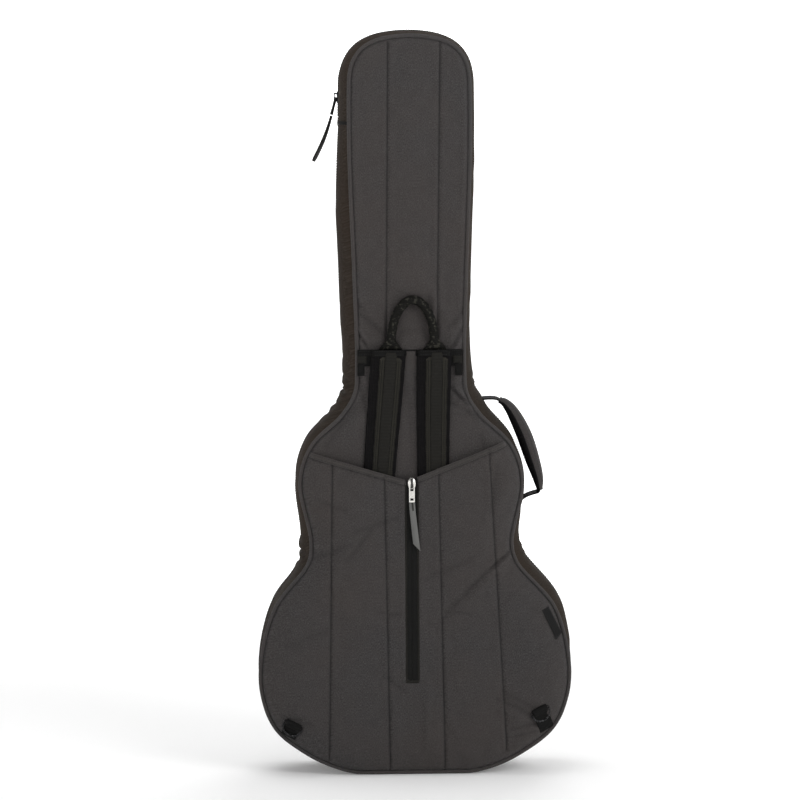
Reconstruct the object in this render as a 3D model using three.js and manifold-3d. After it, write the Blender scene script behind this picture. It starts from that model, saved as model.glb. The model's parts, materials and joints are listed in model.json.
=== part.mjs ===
// A padded gig bag for an acoustic guitar, standing upright on its flat base.
// Millimetres. +Z is up, the back panel with the shoulder straps faces -Y, the opening lid faces +Y,
// and the origin is the centre of the footprint on the floor. "Left" is the -X side.
// The wall follows one symmetric guitar outline. A zip in the side wall runs from the left of the head,
// over the head and down the right side to the base, and the lid folds along a straight line on the left.
import * as THREE from "three";
import { mergeVertices } from "three/addons/utils/BufferGeometryUtils.js";
import Module from "manifold-3d";

const wasm = await Module();
wasm.setup();

// ---- driving dimensions ----
const BACK_Y = -65; // outer face of the back panel
const FRONT_Y = 65; // outer face of the lid at the floor
const TAPER = 20 / 1107; // how far the lid's face leans in, per millimetre of height
const ZIP_Y = 10; // plane of the main zip in the side wall
const SKIN = 4; // quilted outer panel
const PADDING = 12; // foam faced with lining cloth
const GAP = 0.4; // free space between neighbouring pieces
const PANEL_INSET = 2.4; // outer panels stop short of the piping
const INNER_INSET = 8.4; // the padding fits inside the side wall
const WALL_INSIDE = -8; // inner face of the side wall, measured outwards from the outline
const PIPING_R = 3;
const FOLD_X = -69; // the lid folds along this line
const ZIP_START_Z = 982; // left end of the main zip, on the head
const ZIP_END_X = -62; // right end of the main zip, on the base
const POCKET_RISE = 17; // how far each pocket's panel stands off the panel behind it
const POCKET_SKIN = 2.5;

// Half of the guitar outline, from the middle of the base to the top of the head: [x, z].
const HALF_OUTLINE = [
  [0, 4],
  [50, 4],
  [90, 5.2],
  [125, 15],
  [163, 34],
  [205, 70],
  [224, 115],
  [229, 166],
  [210, 253],
  [156, 322],
  [150, 353],
  [166, 446],
  [148, 499],
  [101, 544],
  [82, 576],
  [79.5, 620],
  [83, 760],
  [89, 930],
  [89.5, 1030],
  [88.5, 1058],
  [82.5, 1078],
  [69.5, 1095],
  [46, 1107],
  [0, 1112.5],
];
// How far the padded side wall swells past the outline, by height: [z, swell].
// It is pulled flat round the bouts, and loose at the waist and along the neck.
const SWELL = [
  [0, 4],
  [60, 5],
  [250, 6],
  [330, 16],
  [444, 6],
  [520, 11],
  [600, 15],
  [1045, 15],
  [1085, 10],
  [1112.5, 7.5],
];
const FLOOR_Z = 4; // the outline's height over the flat base
const STEPS_PER_SPAN = 3;

const finishes = {
  shell: [0x3b3938, 0.9, 0],
  shell_dark: [0x2c2a29, 0.9, 0],
  foam: [0x55565a, 0.95, 0],
  lining: [0x6f6f73, 0.95, 0],
  piping: [0x333130, 0.75, 0],
  webbing: [0x15150f, 0.8, 0],
  strap_band: [0x2b2c26, 0.8, 0],
  mesh: [0x0e0e10, 0.9, 0],
  zip_tape: [0x161617, 0.7, 0],
  nickel: [0xc9c9c6, 0.25, 1],
  black_metal: [0x18181a, 0.35, 0.9],
  plastic: [0x101011, 0.5, 0],
  pull_strip: [0x77797a, 0.6, 0],
  dark_strip: [0x1d1c1b, 0.6, 0],
  label: [0x232324, 0.7, 0],
};
const bag = new THREE.Group();

// ---- geometry helpers ----
function lerpTable(table, at) {
  const last = table.length - 1;
  if (at <= table[0][0]) return table[0][1];
  for (let i = 0; i < last; i++) {
    const [a, va] = table[i];
    const [b, vb] = table[i + 1];
    if (at <= b) return va + ((vb - va) * (at - a)) / (b - a);
  }
  return table[last][1];
}

// Flips a closed geometry that faces inwards.
function facingOut(geometry) {
  const p = geometry.attributes.position;
  const index = geometry.index.array;
  const corner = (k) => new THREE.Vector3().fromBufferAttribute(p, index[k]);
  let volume = 0;
  for (let i = 0; i < index.length; i += 3) {
    volume += corner(i).dot(corner(i + 1).cross(corner(i + 2)));
  }
  if (volume < 0) {
    for (let i = 0; i < index.length; i += 3) {
      [index[i], index[i + 1]] = [index[i + 1], index[i]];
    }
  }
  return geometry;
}

// A closed skin over rings of points. An open loft gets end caps shaped like its section.
function loft(rings, closed, section) {
  const size = rings[0].length;
  const positions = rings.flat().flatMap((v) => [v.x, v.y, v.z]);
  const faces = [];
  const spans = closed ? rings.length : rings.length - 1;
  for (let i = 0; i < spans; i++) {
    const here = i * size;
    const next = ((i + 1) % rings.length) * size;
    for (let j = 0; j < size; j++) {
      const k = (j + 1) % size;
      faces.push(here + j, next + j, next + k, here + j, next + k, here + k);
    }
  }
  if (!closed) {
    const last = (rings.length - 1) * size;
    // the triangulation always turns anticlockwise, whichever way the section goes
    const [first, final] = THREE.ShapeUtils.isClockWise(section) ? [last, 0] : [0, last];
    for (const [a, b, c] of THREE.ShapeUtils.triangulateShape(section, [])) {
      faces.push(first + a, first + b, first + c, final + c, final + b, final + a);
    }
  }
  const geometry = new THREE.BufferGeometry();
  geometry.setAttribute("position", new THREE.Float32BufferAttribute(positions, 3));
  geometry.setIndex(faces);
  return geometry;
}

function toSolid(geometry) {
  const bare = geometry.clone();
  bare.deleteAttribute("normal");
  bare.deleteAttribute("uv");
  const merged = facingOut(mergeVertices(bare, 1e-3));
  return new wasm.Manifold(
    new wasm.Mesh({
      numProp: 3,
      vertProperties: merged.attributes.position.array,
      triVerts: new Uint32Array(merged.index.array),
    }),
  );
}

function toGeometry(solid) {
  const mesh = solid.getMesh();
  const geometry = new THREE.BufferGeometry();
  geometry.setAttribute("position", new THREE.BufferAttribute(mesh.vertProperties, 3));
  geometry.setIndex(new THREE.BufferAttribute(mesh.triVerts, 1));
  return geometry;
}

function add(name, geometry, finish, parent = bag) {
  const [color, roughness, metalness] = finishes[finish];
  const material = new THREE.MeshStandardMaterial({ color, roughness, metalness });
  const bare = geometry.clone();
  bare.deleteAttribute("normal");
  bare.deleteAttribute("uv");
  const mesh = new THREE.Mesh(facingOut(mergeVertices(bare, 1e-3)), material);
  mesh.name = name;
  parent.add(mesh);
  return mesh;
}

// ---- the outline ----
const mirrored = HALF_OUTLINE.slice(1, -1).reverse();
const outlineKnots = [
  ...HALF_OUTLINE.map(([x, z]) => new THREE.Vector3(x, 0, z)),
  ...mirrored.map(([x, z]) => new THREE.Vector3(-x, 0, z)),
];
const outlineCurve = new THREE.CatmullRomCurve3(outlineKnots, true, "centripetal");
const STATION_COUNT = outlineKnots.length * STEPS_PER_SPAN;
// Each station is a point of the outline with its outward normal. Station 0 is the middle of the base,
// and the stations run up the right side, over the head and down the left side.
const stations = Array.from({ length: STATION_COUNT }, (_, i) => {
  const t = i / STATION_COUNT;
  const point = outlineCurve.getPoint(t);
  const tangent = outlineCurve.getTangent(t);
  const out = new THREE.Vector3(tangent.z, 0, -tangent.x);
  if (point.z < FLOOR_Z + 0.2) {
    point.z = FLOOR_Z;
    out.set(0, 0, -1);
  }
  return { point, out, swell: lerpTable(SWELL, point.z) };
});
const HEAD = STATION_COUNT / 2;

const offsetPoint = (s, n, y) => s.point.clone().addScaledVector(s.out, n).setY(y);
const frontY = (y, z) => y - TAPER * z;

// Solid whose section [outward offset, y] follows some of the stations.
function wallBand(list, sectionAt, closed = false) {
  const rings = list.map((s) => sectionAt(s).map(([n, y]) => offsetPoint(s, n, y)));
  const section = sectionAt(list[0]).map(([n, y]) => new THREE.Vector2(n, y));
  return loft(rings, closed, section);
}

// The offset outline as a flat shape in X and Z.
function outlineShape(inset) {
  return new THREE.Shape(
    stations.map((s) => {
      const p = offsetPoint(s, -inset, 0);
      return new THREE.Vector2(p.x, p.z);
    }),
  );
}

// A shape drawn in X and Z, as a plate from y0 to y1.
function plate(shape, y0, y1) {
  const geometry = new THREE.ExtrudeGeometry(shape, { depth: y1 - y0, bevelEnabled: false });
  geometry.applyMatrix4(new THREE.Matrix4().set(1, 0, 0, 0, 0, 0, 1, y0, 0, 1, 0, 0, 0, 0, 0, 1));
  return geometry;
}

// Leans a plate in with the lid's face.
function leanIn(geometry) {
  return geometry.applyMatrix4(new THREE.Matrix4().set(1, 0, 0, 0, 0, 1, -TAPER, 0, 0, 0, 1, 0, 0, 0, 0, 1));
}

function box(x0, x1, y0, y1, z0, z1) {
  const geometry = new THREE.BoxGeometry(x1 - x0, y1 - y0, z1 - z0);
  return geometry.translate((x0 + x1) / 2, (y0 + y1) / 2, (z0 + z1) / 2);
}

function polygonPlate(points, y0, y1) {
  return plate(new THREE.Shape(points.map(([x, z]) => new THREE.Vector2(x, z))), y0, y1);
}

// A flat strip along a line of points. Its width lies along widthAxis, which the line never follows.
function ribbon(points, width, thickness, widthAxis) {
  const half = widthAxis.clone().normalize().multiplyScalar(width / 2);
  const rings = points.map((p, i) => {
    const before = points[Math.max(i - 1, 0)];
    const after = points[Math.min(i + 1, points.length - 1)];
    const tangent = after.clone().sub(before).normalize();
    const up = tangent.cross(widthAxis.clone().normalize()).normalize().multiplyScalar(thickness / 2);
    return [
      p.clone().add(half).add(up),
      p.clone().sub(half).add(up),
      p.clone().sub(half).sub(up),
      p.clone().add(half).sub(up),
    ];
  });
  const section = [[1, 1], [-1, 1], [-1, -1], [1, -1]].map(([x, y]) => new THREE.Vector2(x, y));
  return loft(rings, false, section);
}

// A round or oval bar along a flat path. radii gives each point's two half sizes, across the path
// and along side.
function bar(points, side, radii, closed = false, sides = 8) {
  const count = points.length;
  const circle = Array.from({ length: sides }, (_, j) => {
    const angle = ((j + 0.5) / sides) * 2 * Math.PI;
    return new THREE.Vector2(Math.cos(angle), Math.sin(angle));
  });
  const rings = points.map((p, i) => {
    const before = points[closed ? (i - 1 + count) % count : Math.max(i - 1, 0)];
    const after = points[closed ? (i + 1) % count : Math.min(i + 1, count - 1)];
    const across = after.clone().sub(before).cross(side).normalize();
    const [a, b] = radii(i / (count - 1));
    return circle.map((c) => p.clone().addScaledVector(across, c.x * a).addScaledVector(side, c.y * b));
  });
  return loft(rings, closed, circle);
}

const v3 = (x, y, z) => new THREE.Vector3(x, y, z);
const AXIS_Y = v3(0, 1, 0);

// ---- panels: quilted skin and lined foam padding, front and back ----
const BACK_PADDING_Y = BACK_Y + SKIN + GAP;
const FRONT_SKIN_Y = FRONT_Y - SKIN;
const FRONT_PADDING_Y = FRONT_SKIN_Y - GAP - PADDING;

function buildBackPanels() {
  add("back_panel", plate(outlineShape(PANEL_INSET), BACK_Y, BACK_Y + SKIN), "shell");
  add("back_padding", plate(outlineShape(INNER_INSET), BACK_PADDING_Y, BACK_PADDING_Y + PADDING), "lining");
}

// Keeps the part of a geometry left or right of the fold line.
const FAR = 2000;
function cutAtFold(geometry) {
  const solid = toSolid(geometry);
  const left = toSolid(box(-FAR, FOLD_X - GAP / 2, -FAR, FAR, -FAR, FAR));
  const right = toSolid(box(FOLD_X + GAP / 2, FAR, -FAR, FAR, -FAR, FAR));
  return { wing: toGeometry(solid.intersect(left)), door: toGeometry(solid.intersect(right)) };
}

function buildFrontPanels() {
  const layers = [
    ["panel", PANEL_INSET, FRONT_SKIN_Y, SKIN, "shell"],
    ["padding", INNER_INSET, FRONT_PADDING_Y, PADDING, "lining"],
  ];
  for (const [layer, inset, y, thickness, finish] of layers) {
    const { wing, door } = cutAtFold(leanIn(plate(outlineShape(inset), y, y + thickness)));
    add(`wing_${layer}`, wing, finish);
    add(`lid_${layer}`, door, finish);
  }
}

// ---- side walls ----
const WALL_EDGE = PIPING_R * 2 + GAP; // the walls stop this far short of the panels' faces
const TAPE_HALF = 13; // the zip tapes cover this much each side of the zip line
const SLOT_HALF = 6.5; // open slot behind the tapes, for the slider
const TAPE = 1.2;
const EDGE_SWELL = 2.5;
const SHOULDER = 0.75;

const startStation = stations.findIndex((s, i) => i > HEAD && s.point.z < ZIP_START_Z);
const onBase = (s) => s.point.z < 40 && s.point.x > ZIP_END_X - 8;
const endStation = stations.findIndex((s, i) => i > startStation && onBase(s));
const foldStation = stations.findIndex((s, i) => i >= HEAD && s.point.x < FOLD_X);

// Back half of the wall's section, from the panel to the zip, stepped to carry the zip tape.
function backSection(s) {
  const b = s.swell;
  return [
    [WALL_INSIDE, BACK_Y + WALL_EDGE],
    [EDGE_SWELL, BACK_Y + WALL_EDGE],
    [b * SHOULDER, BACK_Y + 23],
    [b, BACK_Y + 50],
    [b, ZIP_Y - TAPE_HALF - GAP],
    [b - TAPE - GAP, ZIP_Y - TAPE_HALF - GAP],
    [b - TAPE - GAP, ZIP_Y - SLOT_HALF],
    [WALL_INSIDE, ZIP_Y - SLOT_HALF],
  ];
}

function frontSection(s) {
  const b = s.swell;
  const edge = frontY(FRONT_Y, s.point.z) - WALL_EDGE;
  return [
    [WALL_INSIDE, ZIP_Y + SLOT_HALF],
    [b - TAPE - GAP, ZIP_Y + SLOT_HALF],
    [b - TAPE - GAP, ZIP_Y + TAPE_HALF + GAP],
    [b, ZIP_Y + TAPE_HALF + GAP],
    [EDGE_SWELL, edge],
    [WALL_INSIDE, edge],
  ];
}

function fullSection(s) {
  const b = s.swell;
  const edge = frontY(FRONT_Y, s.point.z) - WALL_EDGE;
  return [
    [WALL_INSIDE, BACK_Y + WALL_EDGE],
    [EDGE_SWELL, BACK_Y + WALL_EDGE],
    [b * SHOULDER, BACK_Y + 23],
    [b, BACK_Y + 50],
    [b, ZIP_Y + TAPE_HALF],
    [EDGE_SWELL, edge],
    [WALL_INSIDE, edge],
  ];
}

const roundTrip = (from, to) => {
  const count = (to - from + STATION_COUNT) % STATION_COUNT;
  return Array.from({ length: count + 1 }, (_, i) => stations[(from + i) % STATION_COUNT]);
};
// A station between two others, for ends that fall between stations.
function between(a, b, share) {
  return {
    point: a.point.clone().lerp(b.point, share),
    out: a.out.clone().lerp(b.out, share).normalize(),
    swell: a.swell + (b.swell - a.swell) * share,
  };
}
// Pulls the ends of a run of stations in a little, so that neighbours don't touch.
function trimmed(list, start, end) {
  const last = list.length - 1;
  const first = between(list[0], list[1], start / list[0].point.distanceTo(list[1].point));
  const final = between(list[last], list[last - 1], end / list[last].point.distanceTo(list[last - 1].point));
  return [first, ...list.slice(1, last), final];
}
// The station where the outline crosses x on the head or the base, by share of a span.
function crossing(x, index) {
  const a = stations[(index - 1 + STATION_COUNT) % STATION_COUNT];
  const b = stations[index];
  return between(a, b, (x - a.point.x) / (b.point.x - a.point.x));
}

const topCross = (x) => [crossing(x, foldStation), ...roundTrip(foldStation, startStation)];

function buildWalls() {
  // plain full-depth wall on the hinge side, from the head's zip end down to the base
  const hingeRun = trimmed(roundTrip(startStation, endStation), GAP, 0);
  add("hinge_gusset", wallBand(hingeRun, fullSection), "shell_dark");
  // the zipped walls, from the base up the right side and over the head
  const zippedRun = trimmed(roundTrip(endStation, startStation), GAP, 0);
  add("back_gusset", wallBand(zippedRun, backSection), "shell_dark");
  const lidRun = [...roundTrip(endStation, foldStation - 1), crossing(FOLD_X + GAP / 2, foldStation)];
  add("lid_gusset", wallBand(trimmed(lidRun, GAP, 0), frontSection), "shell_dark");
  add("head_gusset", wallBand(topCross(FOLD_X - GAP / 2), frontSection), "shell_dark");
}

function diamond(n, y, r) {
  return [[n - r, y], [n, y - r], [n + r, y], [n, y + r]];
}

function buildPiping() {
  const away = 1;
  const backY = BACK_Y + PIPING_R;
  const backPiping = wallBand(stations, () => diamond(away, backY, PIPING_R), true);
  add("back_piping", backPiping, "piping");
  const section = (s) => diamond(away, frontY(FRONT_Y - PIPING_R, s.point.z), PIPING_R);
  const { wing, door } = cutAtFold(wallBand(stations, section, true));
  add("wing_piping", wing, "piping");
  add("lid_piping", door, "piping");
}

// ---- main zip ----
const COIL_GAP = 1.3; // half of the gap between the tapes, where the slider's post runs

function tapeSection(side) {
  return (s) => {
    const inner = ZIP_Y + side * COIL_GAP;
    const outer = ZIP_Y + side * TAPE_HALF;
    return [[s.swell - TAPE, inner], [s.swell, inner], [s.swell, outer], [s.swell - TAPE, outer]];
  };
}

function buildMainZip() {
  const whole = trimmed(roundTrip(endStation, startStation), 1, 1);
  add("main_zip_tape_back", wallBand(whole, tapeSection(-1)), "zip_tape");
  const lidRun = [...roundTrip(endStation, foldStation - 1), crossing(FOLD_X + GAP / 2, foldStation)];
  add("main_zip_tape_lid", wallBand(trimmed(lidRun, 1, 0), tapeSection(1)), "zip_tape");
  const headRun = trimmed(topCross(FOLD_X - GAP / 2), 0, 1);
  add("main_zip_tape_head", wallBand(headRun, tapeSection(1)), "zip_tape");
}

// An H-shaped zip slider around a zip line that runs along Z, facing -Y, with its tapes at y = 0.
const SLIDER = { width: 10, length: 17, plate: 1.8, gap: 3.4, post: 1.8, lug: 4.6 };
function sliderGeometry() {
  const { width, length, plate: thick, gap, post, lug } = SLIDER;
  const outer = toSolid(box(-width / 2, width / 2, -gap / 2 - thick, -gap / 2, -length / 2, length / 2));
  const inner = toSolid(box(-width / 2, width / 2, gap / 2, gap / 2 + thick, -length / 2, length / 2));
  const web = toSolid(box(-post / 2, post / 2, -gap / 2 - 0.2, gap / 2 + 0.2, length / 2 - 5, length / 2));
  // the bridge that holds the pull: two feet and a bar with a hole under it
  const bridge = toSolid(box(-1.6, 1.6, -gap / 2 - thick - lug, -gap / 2 - thick + 0.2, -6, 7));
  const hole = toSolid(box(-3, 3, -gap / 2 - thick - lug + 1.6, -gap / 2 - thick, -3.6, 4.6));
  return toGeometry(outer.add(inner).add(web).add(bridge).subtract(hole));
}
const PULL_PIVOT_Y = -(SLIDER.gap / 2 + SLIDER.plate + 1.5); // middle of the hole under the bridge
const PULL_PIVOT_Z = 0.5;

// The metal pull hangs along -Z from a bar at the origin that turns under the bridge.
// Below the bar are a long eye, a solid stretch and a slot for the tab.
const PULL = { half: 4.2, eyeHalf: 2.4, bar: 1.05, eyeFoot: -11.2, foot: -28.2 };
const PULL_SLOT = { top: -22.2, foot: -25.6 };
const rectangle = (path, half, top, foot) =>
  path.moveTo(-half, top).lineTo(-half, foot).lineTo(half, foot).lineTo(half, top);
function pullGeometry() {
  const outline = new THREE.Shape();
  rectangle(outline, PULL.half, PULL.bar, PULL.foot);
  const eye = new THREE.Path();
  rectangle(eye, PULL.eyeHalf, -PULL.bar, PULL.eyeFoot);
  const slot = new THREE.Path();
  rectangle(slot, PULL.eyeHalf, PULL_SLOT.top, PULL_SLOT.foot);
  outline.holes.push(eye, slot);
  return plate(outline, -0.8, 0.8);
}
// The leather tab below the pull, with a slanted end.
const TAB_LENGTH = 72;
function tabGeometry() {
  const top = PULL.foot - GAP;
  const end = top - TAB_LENGTH;
  return polygonPlate([[-5.5, top], [5.5, top], [6.5, end], [-6.5, end + 12]], -1.2, 1.2);
}

// A slider with its pull and tab. place moves and turns it from the upright zip frame to the bag.
function addSlider(prefix, place, metal, strip, lift = 0) {
  const mount = new THREE.Group();
  mount.applyMatrix4(place);
  bag.add(mount);
  add(`${prefix}_slider`, sliderGeometry(), metal, mount);
  const hang = new THREE.Group();
  hang.position.set(0, PULL_PIVOT_Y, PULL_PIVOT_Z);
  hang.rotation.x = -THREE.MathUtils.degToRad(lift);
  mount.add(hang);
  add(`${prefix}_pull`, pullGeometry(), metal, hang);
  add(`${prefix}_pull_tab`, tabGeometry(), strip, hang);
}

// ---- pockets: a hipped panel standing off the panel behind it ----
// The run goes round the pocket, and closes with a straight line. faceY turns a height into y.
function hippedShell(run, insetFoot, insetTop, faceY) {
  const shape = (inset, height) =>
    run.map((s) => {
      const p = offsetPoint(s, -inset, 0);
      return p.setY(faceY(height, p.z));
    });
  const hull = (footInset, footHeight, topInset, topHeight) => {
    const foot = shape(footInset, footHeight);
    const section = foot.map((p) => new THREE.Vector2(p.x, p.z));
    return toSolid(loft([foot, shape(topInset, topHeight)], false, section));
  };
  const outer = hull(insetFoot, GAP, insetTop, POCKET_RISE);
  const inner = hull(insetFoot + 4, GAP - 1, insetTop + 1, POCKET_RISE - POCKET_SKIN);
  return outer.subtract(inner);
}

const STOW_FOOT = 3; // the back pocket's panel starts this far inside the outline
const STOW_FLAT = 40; // and reaches its full rise here
const STOW_SLOPE = (POCKET_RISE - GAP) / (STOW_FLAT - STOW_FOOT);
const stowFace = (inset) => BACK_Y - GAP - Math.min(inset - STOW_FOOT, STOW_FLAT - STOW_FOOT) * STOW_SLOPE;
const STOW_LEFT_Z = 496; // where the pocket's mouth meets the left seam
const STOW_RIGHT_Z = 506;
const STOW_APEX = [-2, 447];
const STOW_ZIP_FOOT = 146;
const STOW_HALF_SLOT = 7;
const STOW_TAPE_Y = BACK_Y - POCKET_RISE + 1.2; // middle of the pocket's zip tapes
const MOUTH_REACH = 260; // sideways reach of the cutting shapes

function stowMouth(lift) {
  const [ax, az] = STOW_APEX;
  const slopeLeft = (STOW_LEFT_Z - az) / 157;
  const slopeRight = (STOW_RIGHT_Z - az) / 152;
  const side = MOUTH_REACH;
  return [
    [-side, az + lift + slopeLeft * side],
    [ax, az + lift],
    [side, az + lift + slopeRight * side],
  ];
}

// One upright tape of a pocket's zip, on the given side of x.
function pocketTape(x, side, y, foot, top) {
  const edges = [x + side * COIL_GAP, x + side * (STOW_HALF_SLOT - GAP)].sort((a, b) => a - b);
  return box(edges[0], edges[1], y - TAPE / 2, y + TAPE / 2, foot, top);
}

function buildStowPocket() {
  // up to the shoulders, well above the pocket's mouth
  const run = [...stations.slice(HEAD), ...stations.slice(0, HEAD)].filter((s) => s.point.z < 530);
  const shell = hippedShell(run, STOW_FOOT, STOW_FLAT, (height) => BACK_Y - height);
  const y0 = BACK_Y - POCKET_RISE - 10;
  const belowMouth = [...stowMouth(0).reverse(), [-MOUTH_REACH, -50], [MOUTH_REACH, -50]];
  const below = toSolid(polygonPlate(belowMouth, y0, BACK_Y));
  const slot = toSolid(box(-STOW_HALF_SLOT, STOW_HALF_SLOT, y0, BACK_Y, STOW_ZIP_FOOT, 600));
  add("stow_pocket", toGeometry(shell.intersect(below).subtract(slot)), "shell");
  // binding over the pocket's V-shaped mouth, in two strips that end at the zip
  const hemTop = BACK_Y - POCKET_RISE - GAP;
  const [left, apex, right] = stowMouth(-5).map(([x, z]) => v3(x, hemTop - 0.8, z));
  const along = (a, b, x) => a.clone().lerp(b, (x - a.x) / (b.x - a.x));
  const strip = (a, b) => ribbon([a, b], 9, 1.6, v3(b.z - a.z, 0, a.x - b.x));
  add("stow_hem_left", strip(along(left, apex, -118), along(left, apex, -8.4)), "shell_dark");
  add("stow_hem_right", strip(along(apex, right, 8.4), along(apex, right, 112)), "shell_dark");
  const tapeTop = STOW_APEX[1] - 3;
  for (const [name, side] of [["stow_zip_tape_left", -1], ["stow_zip_tape_right", 1]]) {
    add(name, pocketTape(0, side, STOW_TAPE_Y, STOW_ZIP_FOOT + GAP, tapeTop), "zip_tape");
  }
  const stop = box(-9.5, 9.5, hemTop - 1.6, hemTop, STOW_ZIP_FOOT - 11, STOW_ZIP_FOOT - 1);
  add("stow_zip_end_tab", stop, "zip_tape");
}

// ---- lid pocket, with a straight upright zip near its right edge ----
const LID_POCKET_TOP = 400;
const LID_POCKET_LEFT = -50; // clear of the fold line
const LID_POCKET_FOOT = 16;
const LID_POCKET_FLAT = 44;
const LID_ZIP_X = 80;
const LID_ZIP_Z = [95, 340];
const LID_TAPE_Y = FRONT_Y + POCKET_RISE - 1.2;

// A square corner of the pocket's foot line, as a station that insets along both edges.
function pocketCorner(x, z, outX, outZ) {
  const reach = LID_POCKET_FOOT;
  return { point: v3(x + outX * reach, 0, z + outZ * reach), out: v3(outX, 0, outZ) };
}

function buildLidPocket() {
  const rightSide = stations.filter((s, i) => i < HEAD && s.point.z < LID_POCKET_TOP + 2);
  const shoulder = rightSide[rightSide.length - 1].point.x - LID_POCKET_FOOT;
  const run = [
    pocketCorner(LID_POCKET_LEFT, FLOOR_Z + LID_POCKET_FOOT, -1, -1),
    ...rightSide,
    pocketCorner(shoulder, LID_POCKET_TOP, 1, 1),
    pocketCorner(LID_POCKET_LEFT, LID_POCKET_TOP, -1, 1),
  ];
  const faceY = (height, z) => frontY(FRONT_Y + height, z);
  const shell = hippedShell(run, LID_POCKET_FOOT, LID_POCKET_FLAT, faceY);
  const slotBox = box(LID_ZIP_X - STOW_HALF_SLOT, LID_ZIP_X + STOW_HALF_SLOT, 0, FAR, ...LID_ZIP_Z);
  add("lid_pocket", toGeometry(shell.subtract(toSolid(slotBox))), "shell");
  const [foot, top] = [LID_ZIP_Z[0] + GAP, LID_ZIP_Z[1] - GAP];
  for (const [name, side] of [["lid_zip_tape_left", -1], ["lid_zip_tape_right", 1]]) {
    add(name, leanIn(pocketTape(LID_ZIP_X, side, LID_TAPE_Y, foot, top)), "zip_tape");
  }
}

// ---- shoulder straps, stowed head down in the back pocket ----
const STRAP_TOP = 639;
const STRAPS = {
  left: { top: [-34, STRAP_TOP], foot: [-63, 250] },
  right: { top: [34, STRAP_TOP], foot: [31, 250] },
};
// Layers of a strap: width, thickness, depth of its middle in front of the panel, and shift to the right.
const STRAP_LAYERS = [
  { name: "pad", width: 52, thickness: 8, depth: 5.4, shift: 0, finish: "mesh" },
  { name: "band", width: 34, thickness: 1.2, depth: 10.4, shift: 4, finish: "strap_band" },
  { name: "webbing", width: 17, thickness: 1.2, depth: 12, shift: 4, finish: "webbing" },
];
const OVER_YOKE = 1.6; // the straps stand this much further off the panel over the yoke
// Webbing across the straps' tops. Its two ends reach down outside the straps.
const YOKE = { top: 645, foot: 620, half: 76, endFoot: 606, endInside: 62 };
const WEB = 1.8; // thickness of the yoke's webbing
const TAB = { height: 18, footHalf: 17, topHalf: 8 }; // triangular feet of the loop handle
const LOOP = { x: 3, span: 33, foot: 645, top: 719, r: 6.5, y: BACK_Y - 9.4 };

function buildYoke() {
  const face = BACK_Y - GAP;
  const { top, foot, half, endFoot, endInside } = YOKE;
  const end = (side) => [
    [side * half, endFoot],
    [side * endInside, endFoot + 3],
    [side * (endInside - 2), foot],
  ];
  const outline = [[-half, top], [half, top], ...end(1), ...end(-1).reverse()];
  add("yoke_band", polygonPlate(outline, face - WEB, face), "webbing");
  const tabFoot = top + GAP;
  for (const [name, side] of [["handle_tab_left", -1], ["handle_tab_right", 1]]) {
    const x = LOOP.x + side * LOOP.span;
    const points = [
      [x - TAB.footHalf, tabFoot],
      [x + TAB.footHalf, tabFoot],
      [x + TAB.topHalf, tabFoot + TAB.height],
      [x - TAB.topHalf, tabFoot + TAB.height],
    ];
    add(name, polygonPlate(points, face - WEB, face), "webbing");
  }
}

// Ladder-lock buckle below the pad: a flat frame with two slots.
const BUCKLE = { half: 19, thickness: 6, top: -3, foot: -31 };
const BUCKLE_SLOTS = { half: 13.5, at: [[-12, -7], [-25, -19]] };
// Folded webbing tail below the buckle, down to the snap hook.
const TAIL = { half: 12.5, thickness: 5, top: -31.5, foot: -112 };
const STRAP_END_Y = BACK_Y - 6; // middle of the buckle, tail and hook
// Snap hook: a square eye for the webbing and a hook below it, [x, z] from the middle of the eye's foot.
const EYE = { half: 15, height: 9.5 };
const HOOK = [
  [-3, 8], [3, 8], [3, 0], [11, -6], [11, -30], [4, -38], [-6, -38], [-12, -30],
  [-12, -18], [-7.5, -18], [-7.5, -28], [-4, -33], [2, -33], [6, -28], [6, -10], [-3, -2],
];

// A box centred on x, from the strap's foot down.
function strapBox(x, half, thickness, z0, z1) {
  return box(x - half, x + half, STRAP_END_Y - thickness / 2, STRAP_END_Y + thickness / 2, z0, z1);
}

function buildStrapEnd(side) {
  const [x, z] = STRAPS[side].foot;
  let buckle = toSolid(strapBox(x, BUCKLE.half, BUCKLE.thickness, z + BUCKLE.foot, z + BUCKLE.top));
  for (const [low, high] of BUCKLE_SLOTS.at) {
    const slot = strapBox(x, BUCKLE_SLOTS.half, 3 * BUCKLE.thickness, z + low, z + high);
    buckle = buckle.subtract(toSolid(slot));
  }
  add(`strap_buckle_${side}`, toGeometry(buckle), "plastic");
  const tail = strapBox(x, TAIL.half, TAIL.thickness, z + TAIL.foot, z + TAIL.top);
  add(`strap_tail_${side}`, tail, "webbing");
  const eyeTop = z + TAIL.foot - 0.5;
  const eyeFoot = eyeTop - EYE.height;
  const eye = toSolid(strapBox(x, EYE.half, TAIL.thickness, eyeFoot, eyeTop));
  const outline = HOOK.map(([u, w]) => [x + u, eyeFoot + w]);
  const depth = TAIL.thickness / 2;
  const hook = toSolid(polygonPlate(outline, STRAP_END_Y - depth, STRAP_END_Y + depth));
  add(`snap_hook_${side}`, toGeometry(eye.add(hook)), "black_metal");
}

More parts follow.
